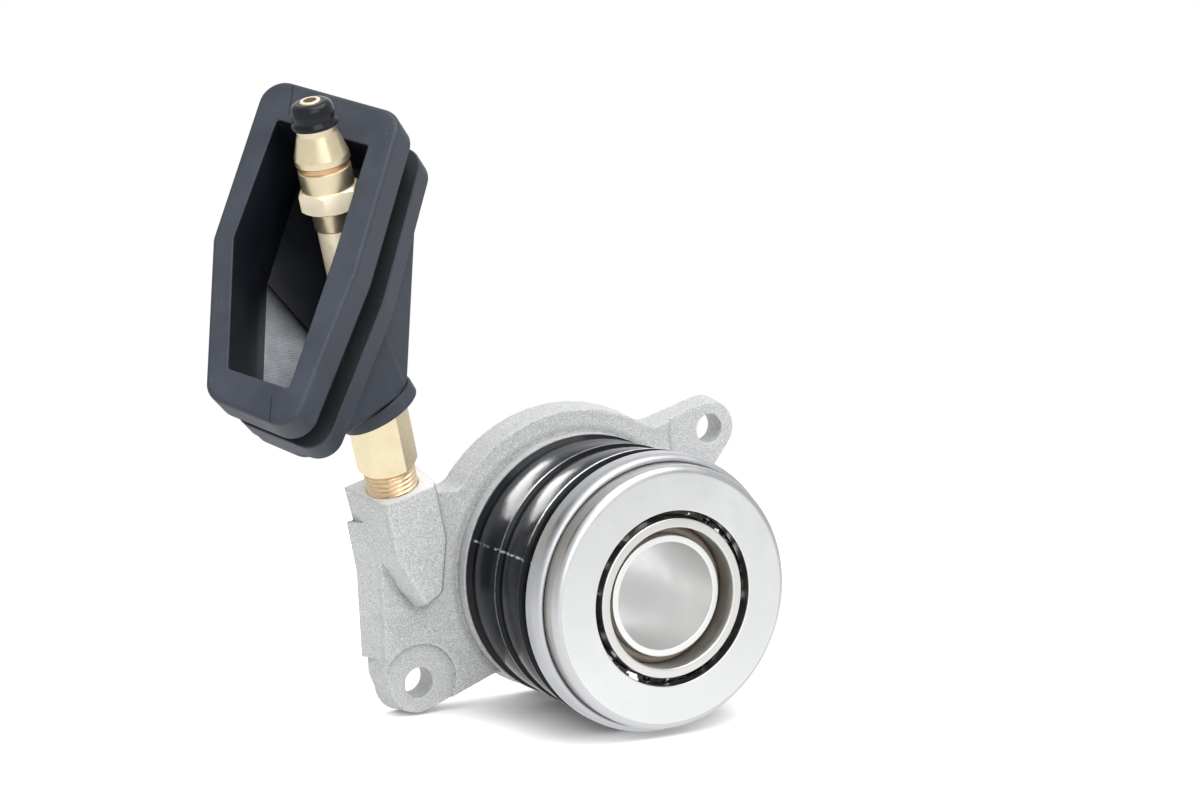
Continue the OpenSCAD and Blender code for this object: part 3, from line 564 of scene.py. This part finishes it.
def piece(name, verts, faces, place, body, mats, sharp=32, weighted=True, pick=None):
    """Closed mesh from points in mm; pick gives the material index of each face."""
    mesh = bpy.data.meshes.new(name)
    mesh.from_pydata([(place @ Vector(v)) * MM for v in verts], [], faces)
    for mat in mats:
        mesh.materials.append(mat)
    if pick is not None:
        for poly, index in zip(mesh.polygons, pick):
            poly.material_index = index
    bm = bmesh.new()
    bm.from_mesh(mesh)
    bmesh.ops.recalc_face_normals(bm, faces=bm.faces)
    bm.to_mesh(mesh)
    bm.free()
    return place_mesh(name, mesh, body, sharp, weighted)


def rounded(points, steps=5):
    """Closed outline with a fillet at each point that gives a third value."""
    out = []
    for i, p in enumerate(points):
        here = Vector(p[:2])
        if len(p) < 3:
            out.append((here.x, here.y))
            continue
        a = (Vector(points[i - 1][:2]) - here).normalized()
        b = (Vector(points[(i + 1) % len(points)][:2]) - here).normalized()
        half = math.acos(max(-1, min(1, a.dot(b)))) / 2
        mid = here + (a + b).normalized() * (p[2] / math.sin(half))
        start = here + a * (p[2] / math.tan(half)) - mid
        end = here + b * (p[2] / math.tan(half)) - mid
        turn = math.atan2(start.x * end.y - start.y * end.x, start.dot(end))
        for k in range(steps + 1):
            q = Matrix.Rotation(turn * k / steps, 2) @ start + mid
            out.append((q.x, q.y))
    return out


def bow(r, z, dr, dz, start, end, steps):
    """Points of an ellipse between two angles in degrees."""
    angles = [math.radians(start + (end - start) * k / steps) for k in range(steps + 1)]
    return [(r + dr * math.cos(a), z + dz * math.sin(a)) for a in angles]


def grid(rows, closed=True):
    """Skin over rows of points; every row is a closed ring with the same count."""
    n = len(rows[0])
    verts = [v for row in rows for v in row]
    faces = []
    for i in range(len(rows) if closed else len(rows) - 1):
        a, b = i * n, (i + 1) % len(rows) * n
        for k in range(n):
            m = (k + 1) % n
            faces.append((a + k, a + m, b + m, b + k))
    return verts, faces


def circle(r, z, n):
    return [(r * math.cos(TAU * k / n), r * math.sin(TAU * k / n), z) for k in range(n)]


def lathe(name, outline, place, body, mats, n=256, pick=None, **kw):
    """Turned piece; pick chooses a material from a segment's middle and its rise along z."""
    verts, faces = grid([circle(r, z, n) for r, z in outline])
    index = None
    if pick is not None:
        index = []
        for i, (r, z) in enumerate(outline):
            r2, z2 = outline[(i + 1) % len(outline)]
            index += [pick((r + r2) / 2, (z + z2) / 2, z2 - z)] * n
    return piece(name, verts, faces, place, body, mats, pick=index, **kw)


# Guide tube and bearing

def guide_tube():
    outline = rounded([
        (TUBE_R, 0), (TUBE_FLANGE_R, 0), (TUBE_FLANGE_R, TUBE_FLANGE_T), (TUBE_OR, TUBE_FLANGE_T),
        (TUBE_OR, TUBE_FRONT, 0.3), (TUBE_R, TUBE_FRONT, 0.25)])
    obj = lathe("guide_tube_fine", outline, LIE, "housing_body", [TUBE])
    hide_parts("guide_tube")


def round_ball(*offsets):
    """Points of a race, given from the centre of the balls."""
    return [(PITCH_R + dr, BALL_H + dz) for dr, dz in offsets]


def contact_ring():
    rear = FACE_H - PLATE_T + 0.45
    skirt = RING_REAR + 1.5
    race = round_ball((2.95, 1.6), (1.05, 3.05), (0, RACE_R), (-1.35, 2.9))
    outline = rounded([
        (CONTACT_IR, FACE_H, 0.35), (BAND_R, FACE_H, FACE_EDGE_R), (BAND_R, skirt),
        (CUP_IR, skirt), (CUP_IR, BALL_H), *race, (CONTACT_IR + 2, rear),
        (CONTACT_IR, rear, 0.2)], 8)

    # The rounded edge and the side band take the darker copies of the face's steel, painted shade
    def pick(r, z, dz):
        if z > FACE_H - 0.1:
            return 0
        return 1 if r > BAND_R - 2.9 and z > FACE_H - 2.3 else 2
    obj = lathe("contact_ring_fine", outline, LIE, "contact", [FACE, EDGE_STEEL_SHADED, BAND_SHADED], pick=pick)
    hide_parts("contact_ring")


def inner_ring():
    front = FACE_H - 0.4
    seat_r = PITCH_R + 0.6
    race = round_ball((0, -RACE_R), (-1.55, -2.85), (-2.75, -1.7), (-4.35, 0.3))
    outline = rounded([
        (INNER_IR, RING_REAR), (seat_r, RING_REAR), (seat_r, BALL_H - RACE_R + 0.05), *race,
        (INNER_OR, BALL_H + 1.3), (INNER_OR, front, 0.45), (INNER_IR, front, 0.5)])

    # The bore takes the darker copy of the steel, painted shade
    def pick(r, z, dz):
        return 1 if r < INNER_IR + 0.1 and abs(dz) > 1 else 0
    obj = lathe("inner_ring_fine", outline, LIE, "carriage", [INNER, INNER_BORE_SHADED], pick=pick)
    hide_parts("inner_ring")


def bearing_shell():
    hole_r = INNER_IR - 0.15
    wall_r = SHELL_R - SHELL_T
    knee = RING_REAR + 2.4
    outer_r, inner_r = BAND_R + 0.6, BAND_R + 0.15
    outline = [(hole_r, SHELL_REAR)]
    outline += bow(wall_r, RING_REAR, SHELL_T, SHELL_T, -90, 0, 8)
    outline += bow(outer_r, knee, SHELL_R - outer_r, 3.1, 0, 90, 12)
    outline += bow(inner_r, knee, wall_r - inner_r, 2.8, 90, 0, 8)
    outline += [(wall_r, RING_REAR), (hole_r, RING_REAR)]
    obj = lathe("bearing_shell_fine", outline, LIE, "carriage", [SHELL])
    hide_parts("bearing_shell")


# Bellows and spring

def dust_bellows():
    rear, front = COLLAR_FRONT, SHELL_REAR - SEAT_GAP
    bead_ir = SPRING_R + WIRE_D / 2 + 1.7
    foot_r = COLLAR_R - 3.3
    foot_in = foot_r - 1.2
    foot_rear = FLANGE_T + 0.8
    bead_rear = CARRIER_REAR + SEAT_GAP

    def lobe(low, high, edge, crown, steps=10):
        bulge = [1 - (2 * i / steps - 1) ** 2 for i in range(steps + 1)]
        return [(edge + (crown - edge) * b, low + (high - low) * i / steps)
                for i, b in enumerate(bulge)]

    def ridge(at, half, fall, root, crest, fillet):
        return [(root, at - half - 0.3), (crest, at - half, fillet), (crest, at + half, fillet),
                (root, at + half + fall)]
    outline = [(CREST - 0.6, rear + 0.1, 0.3), (CREST - 0.45, rear + 1, 0.3)]
    outline += lobe(rear + 2, RIDGE_MID - 1.15, VALLEY - 0.6, VALLEY + 0.25)
    outline += ridge(RIDGE_MID, 0.45, 0.4, VALLEY - 0.55, CREST - 0.65, 0.25)
    outline += lobe(RIDGE_MID + 1.25, RIDGE_FRONT - 1.2, VALLEY - 0.55, VALLEY + 0.3)
    outline += ridge(RIDGE_FRONT, 0.5, 0.5, VALLEY - 0.45, CREST, 0.35)
    outline += [
        (VALLEY - 0.45, RIDGE_FRONT + 1.3), (VALLEY, front - 1.5), (VALLEY, front),
        (bead_ir, front), (bead_ir, bead_rear), (VALLEY - 1.75, bead_rear),
        (VALLEY - 1.55, RIDGE_FRONT - 7), (VALLEY - 1.95, RIDGE_MID + 0.05),
        (VALLEY - 1.45, rear + 8), (VALLEY - 1.75, rear + 2), (foot_in, rear + 1),
        (foot_in, foot_rear), (foot_r, foot_rear), (foot_r, rear + 0.1)]
    obj = lathe("dust_bellows_fine", rounded(outline, 4), LIE, "housing_body", [BELLOWS], 192,
                weighted=False, sharp=50)
    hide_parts("dust_bellows")
    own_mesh(obj)
    return obj


def preload_spring():
    per_turn, section = 48, 12
    span_h = SPRING_TOP - SPRING_LOW - WIRE_D
    end_rise = 1.03 * WIRE_D
    rise_per_turn = (span_h - 2 * end_rise) / (SPRING_TURNS - 2)

    def rise(turn):
        if turn < 1:
            return turn * end_rise
        if turn > SPRING_TURNS - 1:
            return span_h - (SPRING_TURNS - turn) * end_rise
        return end_rise + (turn - 1) * rise_per_turn
    rows = []
    for i in range(int(per_turn * SPRING_TURNS) + 1):
        a = TAU * i / per_turn
        ring = []
        for r, z in bow(SPRING_R, WIRE_D / 2, WIRE_D / 2, WIRE_D / 2, 0, 360, section)[:-1]:
            z += SPRING_LOW + rise(i / per_turn)
            ring.append((r * math.cos(a), r * math.sin(a), z))
        rows.append(ring)
    verts, faces = grid(rows, closed=False)
    last = len(verts) - section
    faces += [tuple(reversed(range(section))), tuple(range(last, len(verts)))]
    obj = piece("preload_spring_fine", verts, faces, LIE, "housing_body", [WIRE], 50, False)
    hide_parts("preload_spring")
    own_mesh(obj)


# Feed pipe

def hex_rows(low, high, turn, inner, n=240):
    """Rings of a hexagon with its corners chamfered at both ends."""
    slope = 0.6
    end_r = HEX_CORNER - HEX_CHAMFER
    columns = []
    for k in range(n):
        t = turn + TAU * k / n
        r = HEX_AF / 2 / math.cos(TAU * k / n % (math.pi / 3) - math.pi / 6)
        drop = slope * max(0.0, r - end_r)
        profile = ((inner, low), (end_r, low), (r, low + drop), (r, high - drop), (end_r, high),
                   (inner, high))
        columns.append([(rad * math.cos(t), rad * math.sin(t), z) for rad, z in profile])
    return list(zip(*columns))


def thread_rows(low, high, n=96):
    """Helical thread between two heights."""
    rows_per_pitch = 12
    count = int((high - low) / THREAD_PITCH * rows_per_pitch)
    rows = []
    for i in range(count + 1):
        z = low + (high - low) * i / count
        row = []
        for k in range(n):
            t = TAU * k / n
            wave = abs(2 * ((z / THREAD_PITCH - k / n) % 1.0) - 1)
            r = THREAD_R - THREAD_DEPTH * min(1.0, max(0.0, 1.25 * wave - 0.12))
            row.append((r * math.cos(t), r * math.sin(t), z))
        rows.append(row)
    return rows


def hex_union():
    n = 96
    low, high = -THREAD_IN, THREAD_OUT - 0.05
    rows = [circle(FLUID_R, low, n)] + thread_rows(low, high, n) + [circle(FLUID_R, high, n)]
    verts, faces = grid(rows)
    thread = piece("union_thread", verts, faces, PIPE, "housing_body", [THREAD], 40, False)
    verts, faces = grid(hex_rows(THREAD_OUT, UNION_TOP, UNION_HEX_TURN, SOCKET_R))
    body = piece("union_hex", verts, faces, PIPE, "housing_body", [ZINC], 25)
    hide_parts("hex_union")
    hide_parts("hex_union")


def end_fitting():
    verts, faces = grid(hex_rows(HEX_LOW, HEX_TOP, END_HEX_TURN, STUB_R))
    # The hex takes the paler zinc copy, painted light
    hexagon = piece("fitting_hex", verts, faces, PIPE, "housing_body", [ZINC_LIT], 25)
    shoulder = HEX_TOP - 0.02
    outline = rounded([
        (FLUID_R, PIPE_TOP + SOCKET_H), (SOCKET_R, PIPE_TOP + SOCKET_H), (SOCKET_R, PIPE_TOP),
        (STUB_R, PIPE_TOP, 0.3), (STUB_R, shoulder), (NECK_R, shoulder), (NECK_R, NECK_TOP, 0.25),
        (LOCK_R, NECK_TOP, 0.1), (LOCK_R, LOCK_TOP, 0.1), (CONE_R, LOCK_TOP, 0.35),
        (CONE_R, LOCK_TOP + 1.8, 0.6), (NOSE_R, CONE_TOP, 0.8), (NOSE_R, NOSE_TOP),
        (TIP_R, NOSE_TOP), (TIP_R, TIP_TOP, 0.3), (FLUID_R, TIP_TOP)])

    # The nose tip takes the paler zinc copy, painted light
    def pick(r, z, dz):
        if NECK_TOP - 0.05 < z < LOCK_TOP + 0.05 and r < LOCK_R + 0.15:
            return 1
        return 2 if z > NOSE_TOP - 0.2 else 0
    spine = lathe("fitting_body", outline, PIPE, "housing_body", [ZINC, ZINC_RED, ZINC_LIT], 128,
                  pick)
    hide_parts("end_fitting")
    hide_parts("end_fitting")
    return hexagon


def nose_seal():
    bore = TIP_R + 0.02
    outline = rounded([
        (bore, NOSE_TOP), (NOSE_R + 0.8, NOSE_TOP, 0.3), (NOSE_R + 0.8, NOSE_TOP + 0.9, 0.4),
        (NOSE_R + 0.15, NOSE_TOP + 1.9, 0.6), (NOSE_R + 0.4, NOSE_TOP + 3.6, 0.8),
        (NOSE_R - 0.15, SEAL_TOP, 1.8), (bore, SEAL_TOP, 0.25)], 6)
    obj = lathe("nose_seal_fine", outline, PIPE, "housing_body", [SEAL], 128, sharp=45)
    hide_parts("nose_seal")


# Window grommet: rings of skin, from the neck bead round to the inside of the funnel

def edge_out(pts, i):
    """Outward normal of the edge that ends at corner i."""
    d = (pts[i % SIDES] - pts[i - 1]).normalized()
    return Vector((-d.y, d.x))


def corner(pts, i):
    """Normals on both sides of a corner, and the angle between them."""
    a, b = edge_out(pts, i), edge_out(pts, i + 1)
    return a, b, math.acos(max(-1, min(1, a.dot(b))))


def boot_outline(pts, round_r, inset):
    arcs = []
    for i in range(SIDES):
        a, b, turn = corner(pts, i)
        c = pts[i] - (a + b) * ((round_r + inset) / (1 + a.dot(b)))
        angles = [math.atan2(a.y, a.x) - turn * j / ARC for j in range(ARC + 1)]
        arcs.append([c + round_r * Vector((math.cos(t), math.sin(t))) for t in angles])
    out = []
    for i in range(SIDES):
        start, end = arcs[i][-1], arcs[(i + 1) % SIDES][0]
        out += arcs[i] + [start.lerp(end, k / EDGE) for k in range(1, EDGE)]
    return out


def boot_ring(pts, round_r, inset, z):
    return [BOOT_AT + BOOT_TURN @ Vector((*(q - BOOT_SHIFT), z))
            for q in boot_outline(pts, round_r, inset)]


def round_dirs(axis):
    """Directions square to an axis, one for each point of an outline."""
    corner_share = 0.7
    first = edge_out(RIM, 0)
    start = math.atan2(first.y, first.x)
    step = ARC + EDGE
    out = []
    swept = 0.0
    for i in range(SIDES):
        turn = corner(RIM, i)[2]
        for j in range(step):
            even = TAU * (i * step + j) / (SIDES * step)
            held = swept + turn * min(1.0, j / ARC)
            ang = start - corner_share * held - (1 - corner_share) * even
            w = BOOT_TURN @ Vector((math.cos(ang), math.sin(ang), 0))
            out.append((w - w.dot(axis) * axis).normalized())
        swept += turn
    return out


def pipe_ring(r, t):
    return [PORT + t * PIPE_DIR + r * d for d in round_dirs(PIPE_DIR)]


def neck_ring(r, z):
    return [NECK_AT + z * NECK_DIR + r * d for d in round_dirs(NECK_DIR)]


def skirt_ring(r):
    lean = PIPE_DIR.dot(NECK_DIR)
    return [NECK_PLANE - r * d.dot(NECK_DIR) / lean * PIPE_DIR + r * d
            for d in round_dirs(PIPE_DIR)]


def between(a, b, steps):
    return [[p.lerp(q, i / steps) for p, q in zip(a, b)] for i in range(1, steps)]


def window_grommet():
    corner_r, groove_r, mouth_r, deep_r = 6, 5, 0.8, 1.5
    flange_in, back_in = 1.0, 1.4
    rim_edge, flange_edge, fine_edge = 1.2, 1.0, 0.4
    bead_low, bead_top = 0.6, 0.7
    pipe_hole = PIPE_R + 0.06
    throat_r, throat_h = 7.2, SKIRT_TOP + 9
    groove = -RIM_T - GROOVE_T
    rear = groove - REAR_T
    inner_rear = rear - 0.9
    quarter = (0, 0.4, 0.8, 1.2, math.pi / 2)

    def arc_rings(pts, inset, z, r, start, end, steps=5):
        """Quarter-round edge in a wall that stands in from an outline."""
        return [boot_ring(pts, corner_r, inset + dr, z + dz)
                for dr, dz in bow(r, 0, -r, r, start, end, steps)]
    neck = neck_ring(BEAD_R - bead_top, BEAD_H)
    foot = boot_ring(BACK, corner_r, back_in, inner_rear - BOOT_WALL)
    rows = [pipe_ring(pipe_hole, SKIRT_TOP), pipe_ring(SKIRT_R, SKIRT_TOP), skirt_ring(SKIRT_R)]
    for a in quarter:
        rows.append(neck_ring(BEAD_R - bead_low * (1 - math.sin(a)), bead_low * (1 - math.cos(a))))
    for a in quarter:
        rows.append(neck_ring(BEAD_R - bead_top * (1 - math.cos(a)),
                              BEAD_H - bead_top * (1 - math.sin(a))))
    rows += between(neck, foot, 14) + [foot]
    rows += [boot_ring(BACK, corner_r, back_in, rear)]
    rows += arc_rings(FLANGE, flange_in, rear + flange_edge, flange_edge, -90, 0)
    rows += arc_rings(FLANGE, flange_in, groove - fine_edge, fine_edge, 0, 90, 3)
    rows += [boot_ring(RIM, groove_r, GROOVE_D, z) for z in (groove, -RIM_T)]
    rows += arc_rings(RIM, 0, fine_edge - RIM_T, fine_edge, -90, 0, 3)
    rows += arc_rings(RIM, 0, -rim_edge, rim_edge, 0, 90, 6)
    for a in quarter:
        rows.append(boot_ring(OPEN, mouth_r, fine_edge * (math.sin(a) - 1),
                              fine_edge * (math.cos(a) - 1)))
    brim = len(rows) - 1
    mouth = boot_ring(OPEN, mouth_r, 0, groove)
    deep = boot_ring(BACK, deep_r, back_in + BOOT_WALL, inner_rear)
    throat = pipe_ring(throat_r, throat_h)
    rows += between(rows[-1], mouth, 4) + [mouth]
    rows += between(mouth, deep, 3) + [deep]
    inside = len(rows) - 1
    rows += between(deep, throat, 10) + [throat, pipe_ring(pipe_hole, throat_h - 1)]
    rows += between(rows[-1], rows[0], 4)
    verts, faces = grid([[tuple(p) for p in row] for row in rows])

    # The mesh print lies on the wall of one edge, and a painted sheen on it fades along it
    n = len(rows[0])
    first = 4 * (ARC + EDGE)
    printed = range(first + ARC // 2, first + ARC + EDGE + ARC // 2)
    # Inside the opening the darker rubber paints shade; the printed wall also carries the painted
    # sheen
    pick = []
    for i in range(len(rows)):
        for k in range(n):
            pick.append(0 if i < brim else 2 if i >= inside and k in printed else 1)
    obj = piece("window_grommet_fine", verts, faces, LIE, "housing_body",
                [GROMMET, FUNNEL_SHADED, HATCH], 35, pick=pick)
    sheen = obj.data.attributes.new("sheen", "FLOAT", "POINT")
    for index, point in enumerate(sheen.data):
        t = max(0.0, (index % n - first - ARC) / EDGE)
        point.value = max(0.0, min(1.0, (1 - t) / 0.4)) * min(1.0, 0.55 + 0.6 * t)
    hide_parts("window_grommet")


# Housing: the construction with smooth curved faces; its edges are rounded in the material

def housing():
    src = frame["nodes"]["housing"]
    mesh = src.data.copy()
    mesh.transform(src.matrix_world)
    bm = bmesh.new()
    bm.from_mesh(mesh)
    bmesh.ops.remove_doubles(bm, verts=bm.verts, dist=0.001 * MM)
    bmesh.ops.dissolve_limit(
        bm, angle_limit=math.radians(0.3), verts=bm.verts, edges=bm.edges)
    bm.to_mesh(mesh)
    bm.free()
    mesh.materials.clear()
    mesh.materials.append(CAST)
    obj = place_mesh("housing_cast", mesh, "housing_body", 24)
    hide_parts("housing")


guide_tube()
contact_ring()
inner_ring()
bearing_shell()
bellows = dust_bellows()
preload_spring()
hex_union()
fitting_hex = end_fitting()
nose_seal()
window_grommet()
housing()

# The pieces that stay as constructed
# The feed tube takes the paler zinc copy, painted light
for name, mat in (
        ("tube_o_ring", SEAL), ("piston", PISTON), ("piston_seal", SEAL),
        ("piston_guide_ring", GUIDE), ("stop_ring", PRESSED), ("spring_seat", PRESSED),
        ("bearing_balls", BALL), ("ball_cage", CAGE), ("feed_tube", ZINC_LIT)):
    obj = frame["nodes"][name]
    obj.data.materials.clear()
    obj.data.materials.append(mat)


# Floor, light and camera

def floor():
    """Pale floor: white for the camera away from the object, with a contact shadow close to it."""
    half = 4.0
    near, far = 0.16, 0.42
    pale, shade = (0.9, 0.9, 0.9), (0.45, 0.45, 0.46)
    low = min(v[2] for v in size_at_load)
    mesh = bpy.data.meshes.new("floor")
    mesh.from_pydata(
        [(-half, -half, low), (half, -half, low), (half, half, low), (-half, half, low)],
        [], [(0, 1, 2, 3)])
    mat = new_material("floor_white", pale, 0.9)
    path = node(mat, "ShaderNodeLightPath")
    camera_ray, glossy_ray = path.outputs["Is Camera Ray"], path.outputs["Is Glossy Ray"]

    # Far away, and mostly so in reflections, the floor is an even white without shadow
    away = span(mat, vectors(mat, "LENGTH", coords(mat)), near, far)
    seen = maths(mat, "MULTIPLY", away, maths(mat, "MAXIMUM", camera_ray, glossy_ray))
    even = maths(mat, "MAXIMUM", seen, maths(mat, "MULTIPLY", glossy_ray, 0.7))
    glow = node(mat, "ShaderNodeEmission")
    bright = span(mat, away, 0.0, 1.0, 1.25, 0.85)
    feed(mat, glow.inputs["Strength"], maths(mat, "MAXIMUM", bright, camera_ray))

    # Close by, the camera sees it lifted to white in the open and darker under the object
    free = openness(mat, 25, local=False)
    lift = node(mat, "ShaderNodeEmission")
    raised = span(mat, free, 0.28, 0.80)
    feed(mat, lift.inputs["Strength"], maths(mat, "MULTIPLY", camera_ray, raised))
    under = span(mat, free, 0.20, 0.75, 0.5, 0.0)
    tint(mat, maths(mat, "MULTIPLY", camera_ray, under), pale, shade)
    add = node(mat, "ShaderNodeAddShader")
    feed(mat, add.inputs[0], shader_of(mat).outputs[0])
    feed(mat, add.inputs[1], lift.outputs[0])
    mix = node(mat, "ShaderNodeMixShader")
    feed(mat, mix.inputs[0], even)
    feed(mat, mix.inputs[1], add.outputs[0])
    feed(mat, mix.inputs[2], glow.outputs[0])
    feed(mat, mat.node_tree.nodes["Material Output"].inputs["Surface"], mix.outputs[0])
    mesh.materials.append(mat)
    obj = bpy.data.objects.new("floor", mesh)
    bpy.context.scene.collection.objects.link(obj)


def world():
    """White room; reflections see it dimmer, with a brighter patch behind the object."""
    diffuse, glossy, white = 0.65, 0.66, 1.0
    patch_way = Vector((0.42, 0.86, 0.24)).normalized()
    patch_inner, patch_outer, patch_level = math.radians(12), math.radians(34), 0.75
    studio = bpy.data.worlds.new("studio")
    bpy.context.scene.world = studio
    studio.use_nodes = True
    back = studio.node_tree.nodes["Background"]
    back.inputs["Color"].default_value = (1, 1, 1, 1)
    path = node(studio, "ShaderNodeLightPath")
    way = node(studio, "ShaderNodeTexCoord").outputs["Generated"]
    patch = node(studio, "ShaderNodeMapRange", interpolation_type="SMOOTHSTEP")
    patch.inputs["From Min"].default_value = math.cos(patch_outer)
    patch.inputs["From Max"].default_value = math.cos(patch_inner)
    patch.inputs["To Max"].default_value = patch_level
    feed(studio, patch.inputs["Value"], vectors(studio, "DOT_PRODUCT", way, patch_way))
    room = maths(studio, "ADD", patch.outputs["Result"], glossy)
    level = diffuse
    for ray, strength in (
            ("Is Glossy Ray", room), ("Is Camera Ray", white), ("Is Transmission Ray", white)):
        mix = node(studio, "ShaderNodeMix")
        feed(studio, mix.inputs[0], path.outputs[ray])
        feed(studio, mix.inputs[2], level)
        feed(studio, mix.inputs[3], strength)
        level = mix.outputs[0]
    feed(studio, back.inputs["Strength"], level)


def softbox(name, at, aim, size, power, only=()):
    """Area lamp in metres and watts; it lights only the pieces that are named, if any are."""
    data = bpy.data.lights.new(name, "AREA")
    data.shape = "RECTANGLE"
    data.size, data.size_y = size
    data.energy = power
    obj = bpy.data.objects.new(name, data)
    obj.location = at
    obj.rotation_euler = (Vector(aim) - Vector(at)).to_track_quat("-Z", "Y").to_euler()
    bpy.context.scene.collection.objects.link(obj)
    if only:
        group = bpy.data.collections.new(name)
        for target in only:
            group.objects.link(target)
        obj.light_linking.receiver_collection = group


def camera():
    """The photograph's camera, solved from the circles of the bearing and the guide tube."""
    at = (-0.3316, -0.5992, 0.1458)
    ahead = Vector((0.49276, 0.85771, -0.14673)).normalized()
    right = Vector((0.86718, -0.49799, 0.00125)).normalized()
    data = bpy.data.cameras.new("camera")
    data.lens = 75
    data.sensor_width = 36
    obj = bpy.data.objects.new("camera", data)
    up = right.cross(ahead).normalized()
    turn = Matrix((ahead.cross(up), up, -ahead)).transposed().to_4x4()
    obj.matrix_world = Matrix.Translation(at) @ turn
    bpy.context.scene.collection.objects.link(obj)
    bpy.context.scene.camera = obj


floor()
world()
softbox("top", at=(0.05, -0.40, 1.15), aim=(0, 0, 0), size=(1.1, 1.1), power=10.5)
softbox("front", at=(-0.5, -1.7, 0.7), aim=(0, 0, 0.03), size=(1.4, 1.0), power=11.0)
softbox("strip", at=(-0.50, 0.90, 0.72), aim=(-0.025, -0.02, 0.06), size=(1.3, 0.4), power=30.0,
        only=[bellows])
softbox("window", at=(-0.62, -0.88, 0.30), aim=(-0.06, -0.02, 0.14), size=(0.5, 0.5), power=8.0,
        only=[fitting_hex, frame["nodes"]["feed_tube"]])
camera()
bpy.context.scene.view_settings.view_transform = "Standard"
